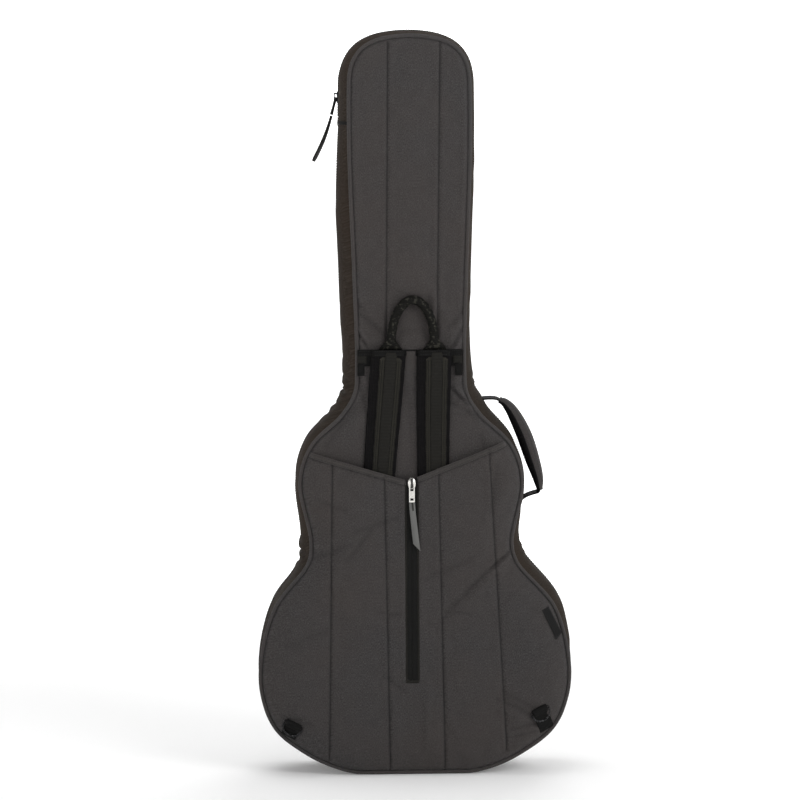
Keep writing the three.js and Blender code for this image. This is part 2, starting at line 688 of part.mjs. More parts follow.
function buildStrap(side) {
  const { top, foot } = STRAPS[side];
  const across = v3(top[1] - foot[1], 0, foot[0] - top[0]);
  const sideways = across.clone().normalize();
  for (const { name, width, thickness, depth, shift, finish } of STRAP_LAYERS) {
    const at = (share, lift) => {
      const x = top[0] + (foot[0] - top[0]) * share;
      const z = top[1] + (foot[1] - top[1]) * share;
      return v3(x, BACK_Y - depth - lift, z).addScaledVector(sideways, shift);
    };
    const line = [at(0, OVER_YOKE), at(0.08, OVER_YOKE), at(0.16, 0), at(0.6, 0), at(1, 0)];
    add(`strap_${name}_${side}`, ribbon(line, width, thickness, across), finish);
  }
  buildStrapEnd(side);
}

// ---- carry handles ----
function buildLoopHandle() {
  const steps = 16;
  const points = Array.from({ length: steps + 1 }, (_, i) => {
    const angle = Math.PI * (1 - i / steps);
    const rise = Math.sin(angle) ** 0.8;
    const x = LOOP.x + LOOP.span * Math.cos(angle);
    return v3(x, LOOP.y, LOOP.foot + (LOOP.top - LOOP.foot) * rise);
  });
  add("loop_handle", bar(points, AXIS_Y, () => [LOOP.r, LOOP.r]), "webbing");
}

const GRIP_Y = -20; // the side handle sits on the fixed part of the wall, beside the zip
// Middle line of the side handle's grip, [x, z].
const GRIP_LINE = [
  [136, 563.5], [145, 558.5], [157, 543], [173, 510], [186.5, 469.5], [193.5, 446], [196.5, 427],
];
function buildSideHandle() {
  const knots = GRIP_LINE.map(([x, z]) => v3(x, GRIP_Y, z));
  const curve = new THREE.CatmullRomCurve3(knots, false, "centripetal");
  const points = curve.getSpacedPoints(12);
  const fullness = (t) => Math.sin(Math.PI * t) ** 0.6;
  add("side_grip", bar(points, AXIS_Y, (t) => [3 + 8.5 * fullness(t), 10 + 7 * fullness(t)]), "shell_dark");
  const upper = ribbon([v3(112, GRIP_Y, 564), v3(133.4, GRIP_Y, 564.6)], 25, 2, AXIS_Y);
  const lower = ribbon([v3(173, GRIP_Y, 419), v3(194, GRIP_Y, 424)], 25, 2, AXIS_Y);
  const wall = toSolid(wallBand(stations, (s) => {
    const b = s.swell + GAP;
    return [[-30, BACK_Y], [b, BACK_Y], [b, 30], [-30, 30]];
  }, true));
  const grip = toSolid(bar(points, AXIS_Y, (t) => [3.4 + 8.5 * fullness(t), 10.4 + 7 * fullness(t)]));
  add("handle_strap_upper", toGeometry(toSolid(upper).subtract(wall).subtract(grip)), "webbing");
  add("handle_strap_lower", toGeometry(toSolid(lower).subtract(wall).subtract(grip)), "webbing");
}

// ---- D-rings on webbing tabs in the lower seam ----
// bar: middle of the ring's straight bar; turn: angle of the bar in the plane of the panel.
const D_RINGS = {
  left: { bar: [-177, 83], turn: -26 },
  right: { bar: [188, 101], turn: 26 },
};
const D_CLEAR = 4.9; // from the pocket's face to the middle of the bar
function insetAt(x, z) {
  const spot = v3(x, 0, z);
  const distances = stations.map((s, i) => {
    const span = new THREE.Line3(s.point, stations[(i + 1) % STATION_COUNT].point);
    return span.closestPointToPoint(spot, true, v3(0, 0, 0)).distanceTo(spot);
  });
  return Math.min(...distances);
}
// The pocket's face at x and z, and its slopes along X and Z.
function pocketFrame(x, z) {
  const step = 6;
  const face = (u, w) => stowFace(insetAt(u, w));
  const slope = (du, dw) => (face(x + du, z + dw) - face(x - du, z - dw)) / (2 * step);
  return { y: face(x, z), slopeX: slope(step, 0), slopeZ: slope(0, step) };
}
const TAB_LIE = 15; // the tab lies along the face's slope this far below the bar
function buildDRing(side) {
  const { bar: [x, z], turn } = D_RINGS[side];
  const angle = THREE.MathUtils.degToRad(turn);
  const { y, slopeX, slopeZ } = pocketFrame(x + TAB_LIE * Math.sin(angle), z - TAB_LIE * Math.cos(angle));
  const along = v3(Math.cos(angle), 0, Math.sin(angle));
  along.y = along.x * slopeX + along.z * slopeZ;
  along.normalize();
  const inward = v3(-slopeX, 1, -slopeZ).normalize();
  const up = along.clone().cross(inward).normalize();
  const middle = v3(x + TAB_LIE * Math.sin(angle), y, z - TAB_LIE * Math.cos(angle));
  const place = middle.addScaledVector(inward, -D_CLEAR).addScaledVector(up, TAB_LIE);
  const lean = new THREE.Group();
  lean.applyMatrix4(new THREE.Matrix4().makeBasis(along, inward, up).setPosition(place));
  bag.add(lean);
  const half = 14.6;
  const arcSteps = 10;
  const arc = Array.from({ length: arcSteps + 1 }, (_, i) => {
    const angle = (Math.PI * i) / arcSteps;
    return v3(half * Math.cos(angle), 0, -6 - 14 * Math.sin(angle));
  });
  const ring = [v3(-half, 0, 0), v3(-5, 0, 0), v3(5, 0, 0), v3(half, 0, 0), ...arc];
  add(`d_ring_${side}`, bar(ring, AXIS_Y, () => [1.9, 1.9], true, 6), "black_metal", lean);
  // webbing folded round the bar: a hook-shaped profile drawn across the bar
  const profile = new THREE.Shape();
  profile.moveTo(-24, 2.4);
  profile.lineTo(0, 2.4);
  profile.absarc(0, 0, 2.4, Math.PI / 2, -Math.PI / 2, true);
  profile.lineTo(-8, -2.4);
  profile.lineTo(-8, -3.8);
  profile.lineTo(0, -3.8);
  profile.absarc(0, 0, 3.8, -Math.PI / 2, Math.PI / 2, false);
  profile.lineTo(-24, 3.8);
  const tab = new THREE.ExtrudeGeometry(profile, { depth: 24, bevelEnabled: false, curveSegments: 5 });
  tab.applyMatrix4(new THREE.Matrix4().set(0, 0, 1, -12, 0, 1, 0, 0, 1, 0, 0, 0, 0, 0, 0, 1));
  add(`d_ring_tab_${side}`, tab, "webbing", lean);
}

function buildLabel() {
  const run = stations.filter((s, i) => i < HEAD && s.point.z > 190 && s.point.z < 260);
  const [near, far] = [STOW_FOOT + 0.5, STOW_FOOT + 12.5];
  const section = () => [
    [-near, stowFace(near) - 0.5],
    [-far, stowFace(far) - 0.5],
    [-far, stowFace(far) - 1.3],
    [-near, stowFace(near) - 1.3],
  ];
  add("side_label", wallBand(trimmed(run, 12, 2), section), "label");
}

// ---- inside: neck rest and the bumper under the guitar ----
const INSIDE_BACK_Y = BACK_PADDING_Y + PADDING + GAP;
function buildInside() {
  const block = toSolid(box(-62, 62, INSIDE_BACK_Y, 6, 650, 705));
  const groove = toSolid(box(-32, 32, -24, 20, 600, 800));
  add("neck_rest", toGeometry(block.subtract(groove)), "foam");
  add("end_bumper", box(-60, 60, INSIDE_BACK_Y, 40, 12.6, 34), "foam");
}

buildBackPanels();
buildFrontPanels();
buildWalls();
buildPiping();
buildMainZip();
buildStowPocket();
buildLidPocket();
buildYoke();
buildStrap("left");
buildStrap("right");
buildLoopHandle();
buildSideHandle();
buildDRing("left");
buildDRing("right");
buildLabel();
buildInside();

// stow pocket slider, parked at the top of its zip
const stowSpot = new THREE.Matrix4().makeTranslation(0, STOW_TAPE_Y, STOW_APEX[1] - 3);
addSlider("stow", stowSpot, "nickel", "pull_strip");
// lid pocket slider, turned to face +Y and leaning with the lid
const lidSliderZ = LID_ZIP_Z[1] - 12;
const lidTurn = new THREE.Matrix4().makeRotationZ(Math.PI);
const lidLean = new THREE.Matrix4().makeRotationX(Math.atan(TAPER));
const lidSpot = new THREE.Matrix4().makeTranslation(LID_ZIP_X, frontY(LID_TAPE_Y, lidSliderZ), lidSliderZ);
addSlider("lid", lidSpot.multiply(lidLean).multiply(lidTurn), "nickel", "pull_strip");
// main slider near the zip's end on the left of the head, facing -X
const MAIN_SLIDER_Z = 1021;
const mainX = -(89 + 15 - TAPE / 2);
const mainTurn = new THREE.Matrix4().makeRotationZ(-Math.PI / 2);
const MAIN_PULL_LIFT = 14; // the main pull stands off the wall
const mainSpot = new THREE.Matrix4().makeTranslation(mainX, ZIP_Y, MAIN_SLIDER_Z);
addSlider("main", mainSpot.multiply(mainTurn), "black_metal", "dark_strip", MAIN_PULL_LIFT);

export default bag;
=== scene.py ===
import json
import math
import bmesh
import bpy
import numpy as np
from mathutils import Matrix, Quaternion, Vector, noise
from mathutils.bvhtree import BVHTree
from mathutils.geometry import delaunay_2d_cdt


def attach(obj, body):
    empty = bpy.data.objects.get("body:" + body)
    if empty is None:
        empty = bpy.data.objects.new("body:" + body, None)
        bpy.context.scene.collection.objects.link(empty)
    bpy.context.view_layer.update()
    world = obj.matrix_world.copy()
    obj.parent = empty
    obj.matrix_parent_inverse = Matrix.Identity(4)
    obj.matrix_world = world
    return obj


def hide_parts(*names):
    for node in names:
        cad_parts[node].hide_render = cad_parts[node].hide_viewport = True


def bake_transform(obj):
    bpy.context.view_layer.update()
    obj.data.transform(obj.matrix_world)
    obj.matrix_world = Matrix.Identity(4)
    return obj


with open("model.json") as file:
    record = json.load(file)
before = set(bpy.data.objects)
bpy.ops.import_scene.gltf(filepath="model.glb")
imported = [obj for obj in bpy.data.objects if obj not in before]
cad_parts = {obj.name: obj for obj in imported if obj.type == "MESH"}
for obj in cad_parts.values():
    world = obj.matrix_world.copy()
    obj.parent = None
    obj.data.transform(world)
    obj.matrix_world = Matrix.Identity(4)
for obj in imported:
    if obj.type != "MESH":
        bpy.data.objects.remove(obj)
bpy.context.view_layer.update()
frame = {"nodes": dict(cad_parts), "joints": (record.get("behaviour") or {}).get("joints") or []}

MM = 0.001
nodes = frame["nodes"]
scene = bpy.context.scene

# ---- driving dimensions ----
# They are the CAD's, but for the outline, the walls' swell and the ends of the pocket's mouth,
# which follow the photo a few millimetres more closely.
BACK_Y = -65.0
FRONT_Y = 65.0
TAPER = 20 / 1107  # how far the lid's faces lean in for each millimetre of height
ZIP_Y = 10.0
PIPING_R = 3.0
FOLD_X = -69.0
POCKET_RISE = 17.0
STOW_APEX = (-2.0, 447.0)
STOW_LEFT_Z = 493.0
STOW_RIGHT_Z = 509.0
STOW_ZIP_FOOT = 146.0
STOW_SLOT = 8.5
STOW_TAPE_Y = BACK_Y - POCKET_RISE + 1.2
LID_POCKET_LEFT = -50.0
LID_POCKET_TOP = 400.0
LID_POCKET_FOOT = 16.0
LID_ZIP_X = 80.0
LID_ZIP_Z = (95.0, 340.0)

HALF_OUTLINE = [
    (0, 4), (50, 4), (90, 5.2), (125, 15), (163, 34), (208, 70), (228, 115), (232, 166), (210, 253),
    (156, 322), (150, 353), (166, 446), (149, 499), (103, 545), (83, 578), (79.5, 620), (83, 760),
    (89, 930), (89.3, 1030), (88, 1057), (82, 1077.5), (69, 1094.5), (46, 1106.5), (0, 1112.5),
]
# Shift of the outline to the right, by height: the lower bout leans that way.
LEAN = np.array([(0, 3.5), (60, 3.8), (155, 4.5), (250, 4.5), (305, 2.0), (350, 0), (1200, 0)])
# How far the side wall swells past the piping, by height. Most of the neck's slack hangs left.
SWELL_LEFT = [
    (0, 2), (60, 3), (166, 1), (250, 1), (300, 8), (345, 17), (444, 7), (520, 12), (600, 19),
    (680, 23), (850, 23), (910, 19.5), (975, 15.5), (1050, 15), (1085, 12), (1112.5, 9),
]
SWELL_RIGHT = [
    (0, 2), (60, 6), (166, 5.5), (250, 14), (330, 18), (400, 8), (444, 6.5), (490, 7), (525, 13),
    (560, 19), (600, 15), (680, 10), (1045, 9), (1112.5, 9),
]


def front_y(y, z):
    """y on a face that leans in with the lid."""
    return y - TAPER * z


def smooth(t):
    t = np.clip(t, 0, 1)
    return t * t * (3 - 2 * t)


# ---- the outline, sampled evenly ----
def outline_curve(steps=24):
    knots = [np.array(k, float) for k in HALF_OUTLINE]
    knots += [np.array((-x, z), float) for x, z in HALF_OUTLINE[-2:0:-1]]
    count = len(knots)
    points = []
    for i in range(count):
        p0, p1, p2, p3 = (knots[(i + k - 1) % count] for k in range(4))
        d0, d1, d2 = (math.sqrt(np.linalg.norm(b - a)) for a, b in ((p0, p1), (p1, p2), (p2, p3)))
        m1 = ((p1 - p0) / d0 - (p2 - p0) / (d0 + d1) + (p2 - p1) / d1) * d1
        m2 = ((p2 - p1) / d1 - (p3 - p1) / (d1 + d2) + (p3 - p2) / d2) * d1
        for s in np.arange(steps) / steps:
            h = (2 * s**3 - 3 * s**2 + 1, s**3 - 2 * s**2 + s, 3 * s**2 - 2 * s**3, s**3 - s**2)
            points.append(h[0] * p1 + h[1] * m1 + h[2] * p2 + h[3] * m2)
    points = np.array(points)
    points[:, 1] = np.maximum(points[:, 1], 4)
    return points


class Outline:
    """Evenly spaced stations round the bag: point, outward normal, wall swell, distance along."""

    def __init__(self, spacing):
        raw = outline_curve()
        raw[:, 0] += np.interp(raw[:, 1], LEAN[:, 0], LEAN[:, 1])
        closed = np.vstack([raw, raw[:1]])
        run = np.concatenate([[0], np.cumsum(np.linalg.norm(np.diff(closed, axis=0), axis=1))])
        self.count = int(round(run[-1] / spacing))
        self.arc = np.arange(self.count) * run[-1] / self.count
        self.length = run[-1]
        self.point = np.column_stack([np.interp(self.arc, run, closed[:, k]) for k in (0, 1)])
        ahead = np.roll(self.point, -2, axis=0) - np.roll(self.point, 2, axis=0)
        ahead /= np.linalg.norm(ahead, axis=1)[:, None]
        self.out = np.column_stack([ahead[:, 1], -ahead[:, 0]])
        left, right = (np.interp(self.point[:, 1], *np.array(table, float).T)
                       for table in (SWELL_LEFT, SWELL_RIGHT))
        self.swell = np.where(self.point[:, 0] < 0, left, right)

    def offset(self, n):
        return self.point + self.out * n

    def nearest(self, x, z):
        return int(np.argmin(np.hypot(self.point[:, 0] - x, self.point[:, 1] - z)))

    def level(self, side, z):
        """The station at a height on the left (-1) or right (1) side."""
        return int(np.argmin(np.abs(self.point[:, 1] - z) + 1e4 * (self.point[:, 0] * side < 0)))

    def at(self, arc, n, y):
        """The point a distance along the outline, n outwards of the swollen wall."""
        arc = arc % self.length
        run = np.append(self.arc, self.length)
        pick = lambda values: np.interp(arc, run, np.append(values, values[0]))
        x, z = pick(self.point[:, 0]), pick(self.point[:, 1])
        ox, oz, b = pick(self.out[:, 0]), pick(self.out[:, 1]), pick(self.swell)
        return np.array([x + ox * (b + n), y, z + oz * (b + n)])

    def run(self, start, end):
        """Station numbers from start to end, going up the right side and over the head."""
        return [(start + i) % self.count for i in range((end - start) % self.count + 1)]


line = Outline(4)
HEAD_LEFT = line.nearest(-89, 985)
FOOT_LEFT = line.nearest(-66, 4)


def inset_distance(x, z):
    """Distance from points to the outline, in mm."""
    x, z = np.atleast_1d(x), np.atleast_1d(z)
    result = np.empty(len(x))
    for i in range(0, len(x), 2000):
        dx = x[i:i + 2000, None] - line.point[None, :, 0]
        dz = z[i:i + 2000, None] - line.point[None, :, 1]
        result[i:i + 2000] = np.sqrt((dx * dx + dz * dz).min(axis=1))
    return result


# ---- mesh helpers ----
def new_object(name, verts, faces, smooth_shade=True):
    mesh = bpy.data.meshes.new(name)
    points = [tuple(np.asarray(p, float) * MM) for p in verts]
    mesh.from_pydata(points, [], [tuple(map(int, f)) for f in faces])
    mesh.validate()
    obj = bpy.data.objects.new(name, mesh)
    scene.collection.objects.link(obj)
    if smooth_shade:
        mesh.shade_smooth()
    return obj


def fix_normals(obj):
    bm = bmesh.new()
    bm.from_mesh(obj.data)
    bmesh.ops.recalc_face_normals(bm, faces=bm.faces)
    bm.to_mesh(obj.data)
    bm.free()
    return obj


def apply_modifiers(obj):
    deps = bpy.context.evaluated_depsgraph_get()
    mesh = bpy.data.meshes.new_from_object(obj.evaluated_get(deps))
    obj.modifiers.clear()
    old = obj.data
    obj.data = mesh
    bpy.data.meshes.remove(old)
    return obj


def loft(name, rings, closed=False):
    """A skin over equal rings of points. An open loft gets flat end caps."""
    rings = [np.asarray(r, float) for r in rings]
    size = len(rings[0])
    verts = np.vstack(rings)
    faces = []
    for i in range(len(rings) if closed else len(rings) - 1):
        a, b = i * size, ((i + 1) % len(rings)) * size
        for j in range(size):
            k = (j + 1) % size
            faces.append((a + j, b + j, b + k, a + k))
    if not closed:
        faces.append(tuple(range(size))[::-1])
        faces.append(tuple(range((len(rings) - 1) * size, len(rings) * size)))
    return fix_normals(new_object(name, verts, faces))


def wall(name, stations, section, closed=False):
    """A loft along the outline. section gives rows of (outward offset, y) at a station number."""
    rings = []
    for i in stations:
        sec = np.asarray(section(i), float)
        p, out = line.point[i], line.out[i]
        x, z = p[0] + out[0] * sec[:, 0], p[1] + out[1] * sec[:, 0]
        rings.append(np.column_stack([x, sec[:, 1], z]))
    return loft(name, rings, closed)


def superellipse(width, height, power=4.0, count=20):
    """A rounded rectangle section, centred on 0."""
    angle = (np.arange(count) + 0.5) / count * 2 * np.pi
    c, s = np.cos(angle), np.sin(angle)
    return np.column_stack([
        width / 2 * np.sign(c) * np.abs(c) ** (2 / power),
        height / 2 * np.sign(s) * np.abs(s) ** (2 / power),
    ])


def sweep(name, path, side, section):
    """A section carried along a path. Its first axis is side, its second is square to the path."""
    path = [np.asarray(p, float) for p in path]
    last = len(path) - 1
    rings = []
    for i, p in enumerate(path):
        before, after = path[max(i - 1, 0)], path[min(i + 1, last)]
        tangent = (after - before) / np.linalg.norm(after - before)
        across = np.asarray(side(i) if callable(side) else side, float)
        across = across - tangent * across.dot(tangent)
        across /= np.linalg.norm(across)
        up = np.cross(tangent, across)
        sec = section(i / max(last, 1)) if callable(section) else section
        rings.append(p + sec[:, :1] * across + sec[:, 1:] * up)
    return loft(name, rings)


def resample(points, spacing):
    points = np.asarray(points, float)
    run = np.concatenate([[0], np.cumsum(np.linalg.norm(np.diff(points, axis=0), axis=1))])
    steps = max(int(round(run[-1] / spacing)), 2)
    at = np.linspace(0, run[-1], steps + 1)
    return np.column_stack([np.interp(at, run, points[:, k]) for k in range(points.shape[1])])


def smooth_path(points, spacing=3.0):
    """A rounded path through a few points."""
    p = np.asarray(points, float)
    p = np.vstack([2 * p[0] - p[1], p, 2 * p[-1] - p[-2]])
    fine = []
    for i in range(1, len(p) - 2):
        for s in np.arange(12) / 12:
            a, b, c, d = p[i - 1:i + 3]
            fine.append(0.5 * (2 * b + (c - a) * s + (2 * a - 5 * b + 4 * c - d) * s**2
                               + (3 * b - a - 3 * c + d) * s**3))
    fine.append(p[-2])
    return resample(fine, spacing)


SEAM_ROW = 3.4  # distance of the rows of points beside a seam


def seam_rows(a, b, spacing):
    """Points along a seam and beside it, so that a stitched channel has rows of its own."""
    middle = resample([a, b], spacing)
    along = (middle[-1] - middle[0]) / np.linalg.norm(middle[-1] - middle[0])
    square = np.array([-along[1], along[0]])
    return np.vstack([middle + square * k for k in (-SEAM_ROW, 0, SEAM_ROW)])


def segment_distance(flat, lines):
    """Distance from (x, z) points to the nearest of some line segments."""
    nearest = np.full(len(flat), 1e9)
    for a, b in lines:
        a, b = np.array(a, float), np.array(b, float)
        t = np.clip(((flat - a) @ (b - a)) / ((b - a) @ (b - a)), 0, 1)
        nearest = np.minimum(nearest, np.linalg.norm(flat - (a + t[:, None] * (b - a)), axis=1))
    return nearest


def refine(obj):
    """Smooths a sheet once and halves its spacing."""
    mod = obj.modifiers.new("refine", "SUBSURF")
    mod.levels = mod.render_levels = 1
    return apply_modifiers(obj)


def inside_loop(points, loop):
    """Which points are inside a closed loop, and how far each is from it."""
    inside = np.zeros(len(points), bool)
    nearest = np.full(len(points), 1e9)
    for p, q in zip(loop, np.roll(loop, -1, axis=0)):
        spans = (p[1] > points[:, 1]) != (q[1] > points[:, 1])
        if p[1] != q[1]:
            at = (q[0] - p[0]) * (points[:, 1] - p[1]) / (q[1] - p[1]) + p[0]
            inside ^= spans & (points[:, 0] < at)
        t = np.clip(((points - p) @ (q - p)) / max((q - p) @ (q - p), 1e-9), 0, 1)
        nearest = np.minimum(nearest, np.linalg.norm(points - (p + t[:, None] * (q - p)), axis=1))
    return inside, nearest


def flat_sheet(name, loop, spacing, face_y, seams=()):
    """A triangulated sheet inside a loop of (x, z), with evenly spread points and extra rows along
    its seams. face_y gives y at x, z."""
    loop = np.asarray(loop, float)
    low, high = loop.min(0), loop.max(0)
    inner = []
    rise = spacing * 0.866  # rows of equal-sided triangles
    for r, z in enumerate(np.arange(low[1] + spacing / 2, high[1], rise)):
        inner += [(x, z) for x in np.arange(low[0] + spacing / 2 * (r % 2), high[0], spacing)]
    inner = np.array(inner)
    rows = np.vstack([np.empty((0, 2)), *(seam_rows(a, b, spacing) for a, b in seams)])
    if seams:
        inner = inner[segment_distance(inner, seams) > SEAM_ROW * 1.6]
    inner = np.vstack([inner, rows])
    inside, nearest = inside_loop(inner, loop)
    points = np.vstack([loop, inner[inside & (nearest > spacing * 0.45)]])
    edges = [(i, (i + 1) % len(loop)) for i in range(len(loop))]
    made = delaunay_2d_cdt([Vector(p) for p in points], edges, [], 1, 1e-5, False)
    flat = np.array([(p[0], p[1]) for p in made[0]])
    middles = np.array([flat[list(f)].mean(axis=0) for f in made[2]])
    kept = inside_loop(middles, loop)[0]
    faces = [f for f, keep in zip(made[2], kept) if keep]
    y = face_y(flat[:, 0], flat[:, 1])
    return fix_normals(new_object(name, np.column_stack([flat[:, 0], y, flat[:, 1]]), faces))


def coords(obj):
    co = np.empty(len(obj.data.vertices) * 3)
    obj.data.vertices.foreach_get("co", co)
    return co.reshape(-1, 3) / MM


def set_coords(obj, co):
    obj.data.vertices.foreach_set("co", (np.asarray(co) * MM).ravel())
    obj.data.update()


PUFF_FRAMES = 20


def puff(obj, pinned, cap, slack):
    """Swells a sheet with a cloth simulation. Pinned points stay. No point moves more than cap."""
    start = coords(obj)
    group = obj.vertex_groups.new(name="held")
    group.add([int(i) for i in np.nonzero(pinned)[0]], 1.0, "REPLACE")
    cloth = obj.modifiers.new("cloth", "CLOTH")
    s = cloth.settings
    s.quality = 4
    s.mass = 0.15
    s.tension_stiffness = 12
    s.compression_stiffness = 12
    s.shear_stiffness = 6
    s.bending_stiffness = 0.4
    s.use_pressure = True
    s.uniform_pressure_force = 4.0
    s.shrink_min = -slack
    s.vertex_group_mass = group.name
    s.effector_weights.gravity = 0
    cloth.collision_settings.use_collision = False
    cloth.point_cache.frame_start = 1
    cloth.point_cache.frame_end = PUFF_FRAMES
    for f in range(1, PUFF_FRAMES + 1):
        scene.frame_set(f)
    deps = bpy.context.evaluated_depsgraph_get()
    moved = np.empty(len(start) * 3)
    obj.evaluated_get(deps).data.vertices.foreach_get("co", moved)
    shift = moved.reshape(-1, 3) / MM - start
    size = np.maximum(np.linalg.norm(shift, axis=1), 1e-9)
    shift *= (np.minimum(size, cap) / size)[:, None]
    obj.modifiers.clear()
    obj.vertex_groups.clear()
    scene.frame_set(1)
    set_coords(obj, start + shift)


def thicken(obj, thickness):
    """Turns a sheet into a closed solid, away from its outer face."""
    mod = obj.modifiers.new("thick", "SOLIDIFY")
    mod.thickness = thickness * MM
    mod.offset = -1
    return apply_modifiers(obj)


def face_to(obj, direction):
    """Turns an open sheet's faces to look along direction."""
    bm = bmesh.new()
    bm.from_mesh(obj.data)
    total = sum((f.normal * f.calc_area() for f in bm.faces), Vector())
    if total.dot(Vector(direction)) < 0:
        bmesh.ops.reverse_faces(bm, faces=bm.faces)
    bm.to_mesh(obj.data)
    bm.free()
    return obj


def surface_tree(obj):
    mesh = obj.data
    return BVHTree.FromPolygons([v.co for v in mesh.vertices], [p.vertices for p in mesh.polygons])


RAY_START = 300.0  # well outside the bag


def on_surface(tree, points, outward, lift):
    """(x, z) points dropped along y onto a surface that faces outward: -1 is the back, 1 the front."""
    out = []
    for x, z in points:
        hit = tree.ray_cast(Vector((x, outward * RAY_START, z)) * MM, Vector((0, -outward, 0)))
        if hit[0] is not None:
            p = np.array(hit[0]) / MM
            out.append((p[0], p[1] + outward * lift, p[2]))
    return np.array(out)


def stitches(name, path, pitch=4.2, length=3.1, radius=0.42, material="thread"):
    """A row of thread stitches along a path: short rounded bars that dip in at their ends."""
    path = np.asarray(path, float)
    run = np.concatenate([[0], np.cumsum(np.linalg.norm(np.diff(path, axis=0), axis=1))])
    at = lambda s: np.array([np.interp(s, run, path[:, k]) for k in range(3)])
    sides = 5
    verts, faces = [], []
    for i in range(int(run[-1] // pitch)):
        middle = (i + 0.5) * pitch
        a, b = at(middle - length / 2), at(middle + length / 2)
        t = b - a
        norm = np.linalg.norm(t)
        if norm < 1e-6:
            continue
        t /= norm
        u = np.cross(t, (0.3, 0.5, 0.8))
        u /= np.linalg.norm(u)
        w = np.cross(t, u)
        base = len(verts)
        for s, r in ((0, 0.35), (0.2, 1), (0.8, 1), (1, 0.35)):
            centre = a + (b - a) * s
            for k in range(sides):
                angle = 2 * math.pi * k / sides
                verts.append(centre + radius * r * (u * math.cos(angle) + w * math.sin(angle)))
        for ring in range(3):
            for k in range(sides):
                p, q = base + ring * sides + k, base + ring * sides + (k + 1) % sides
                faces.append((p, q, q + sides, p + sides))
        faces.append(tuple(base + k for k in range(sides))[::-1])
        faces.append(tuple(base + 3 * sides + k for k in range(sides)))
    return paint(fix_normals(new_object(name, verts, faces)), material)


# ---- materials ----
class Shader:
    """A node material under construction."""

    def __init__(self, name, roughness=0.8, metallic=0.0, specular=0.3):
        self.material = bpy.data.materials.new(name)
        self.material.use_nodes = True
        self.tree = self.material.node_tree
        self.bsdf = self.tree.nodes["Principled BSDF"]
        self.bsdf.inputs["Roughness"].default_value = roughness
        self.bsdf.inputs["Metallic"].default_value = metallic
        self.bsdf.inputs["Specular IOR Level"].default_value = specular
        # flat: two lengths that run round the bag and up it, so a weave lies on every upright face
        self.position = self.node("TexCoord").outputs["Object"]
        parts = self.node("SeparateXYZ", {0: self.position}).outputs
        around = self.math("ADD", parts[0], parts[1])
        up = self.math("ADD", parts[2], self.math("MULTIPLY", parts[1], 0.4))
        self.flat = self.node("CombineXYZ", {0: around, 1: up}).outputs[0]

    def node(self, kind, inputs=None, **props):
        made = self.tree.nodes.new("ShaderNode" + kind)
        for key, value in props.items():
            setattr(made, key, value)
        for key, value in (inputs or {}).items():
            if isinstance(value, bpy.types.NodeSocket):
                self.tree.links.new(value, made.inputs[key])
            else:
                made.inputs[key].default_value = value
        return made

    def math(self, operation, a, b=0.0):
        return self.node("Math", {0: a, 1: b}, operation=operation).outputs[0]

    def waves(self, direction, period, distortion):
        """Parallel threads a period apart, in metres, from 0 to 1."""
        scale = 2 * math.pi / (20 * period)
        inputs = {"Vector": self.flat, "Scale": scale, "Distortion": distortion, "Detail": 1.0}
        return self.node("TexWave", inputs, bands_direction=direction).outputs["Fac"]

    def noise(self, scale, detail=2.0, stretch=(1, 1, 1), vector=None):
        inputs = {"Vector": vector or self.position, "Scale": stretch}
        inputs = {"Vector": self.node("Mapping", inputs).outputs[0], "Scale": scale, "Detail": detail}
        return self.node("TexNoise", inputs).outputs["Fac"]

    def ramp(self, value, low, high):
        made = self.node("MapRange", {"Value": value, "From Min": low, "From Max": high})
        return made.outputs["Result"]

    def mix(self, amount, a, b):
        made = self.node("Mix", {"Factor": amount}, data_type="RGBA")
        for key, value in (("A", a), ("B", b)):
            socket = [s for s in made.inputs if s.name == key and s.type == "RGBA"][0]
            if isinstance(value, bpy.types.NodeSocket):
                self.tree.links.new(value, socket)
            else:
                socket.default_value = (*value, 1)
        return [s for s in made.outputs if s.type == "RGBA"][0]

    def worn_edges(self, color, worn, amount=0.5):
        """Lighter where the surface turns sharply."""
        sharp = self.ramp(self.node("NewGeometry").outputs["Pointiness"], 0.52, 0.62)
        return self.mix(self.math("MULTIPLY", sharp, amount), color, worn)

    def finish(self, color, height, bump, distance, sheen=0.0, rough=None):
        self.tree.links.new(color, self.bsdf.inputs["Base Color"])
        bumps = self.node("Bump", {"Height": height, "Strength": bump, "Distance": distance})
        self.tree.links.new(bumps.outputs[0], self.bsdf.inputs["Normal"])
        if rough is not None:
            self.tree.links.new(rough, self.bsdf.inputs["Roughness"])
        self.bsdf.inputs["Sheen Weight"].default_value = sheen
        self.bsdf.inputs["Sheen Roughness"].default_value = 0.6
        return self.material


def scaled(color, factor):
    return tuple(c * factor for c in color)


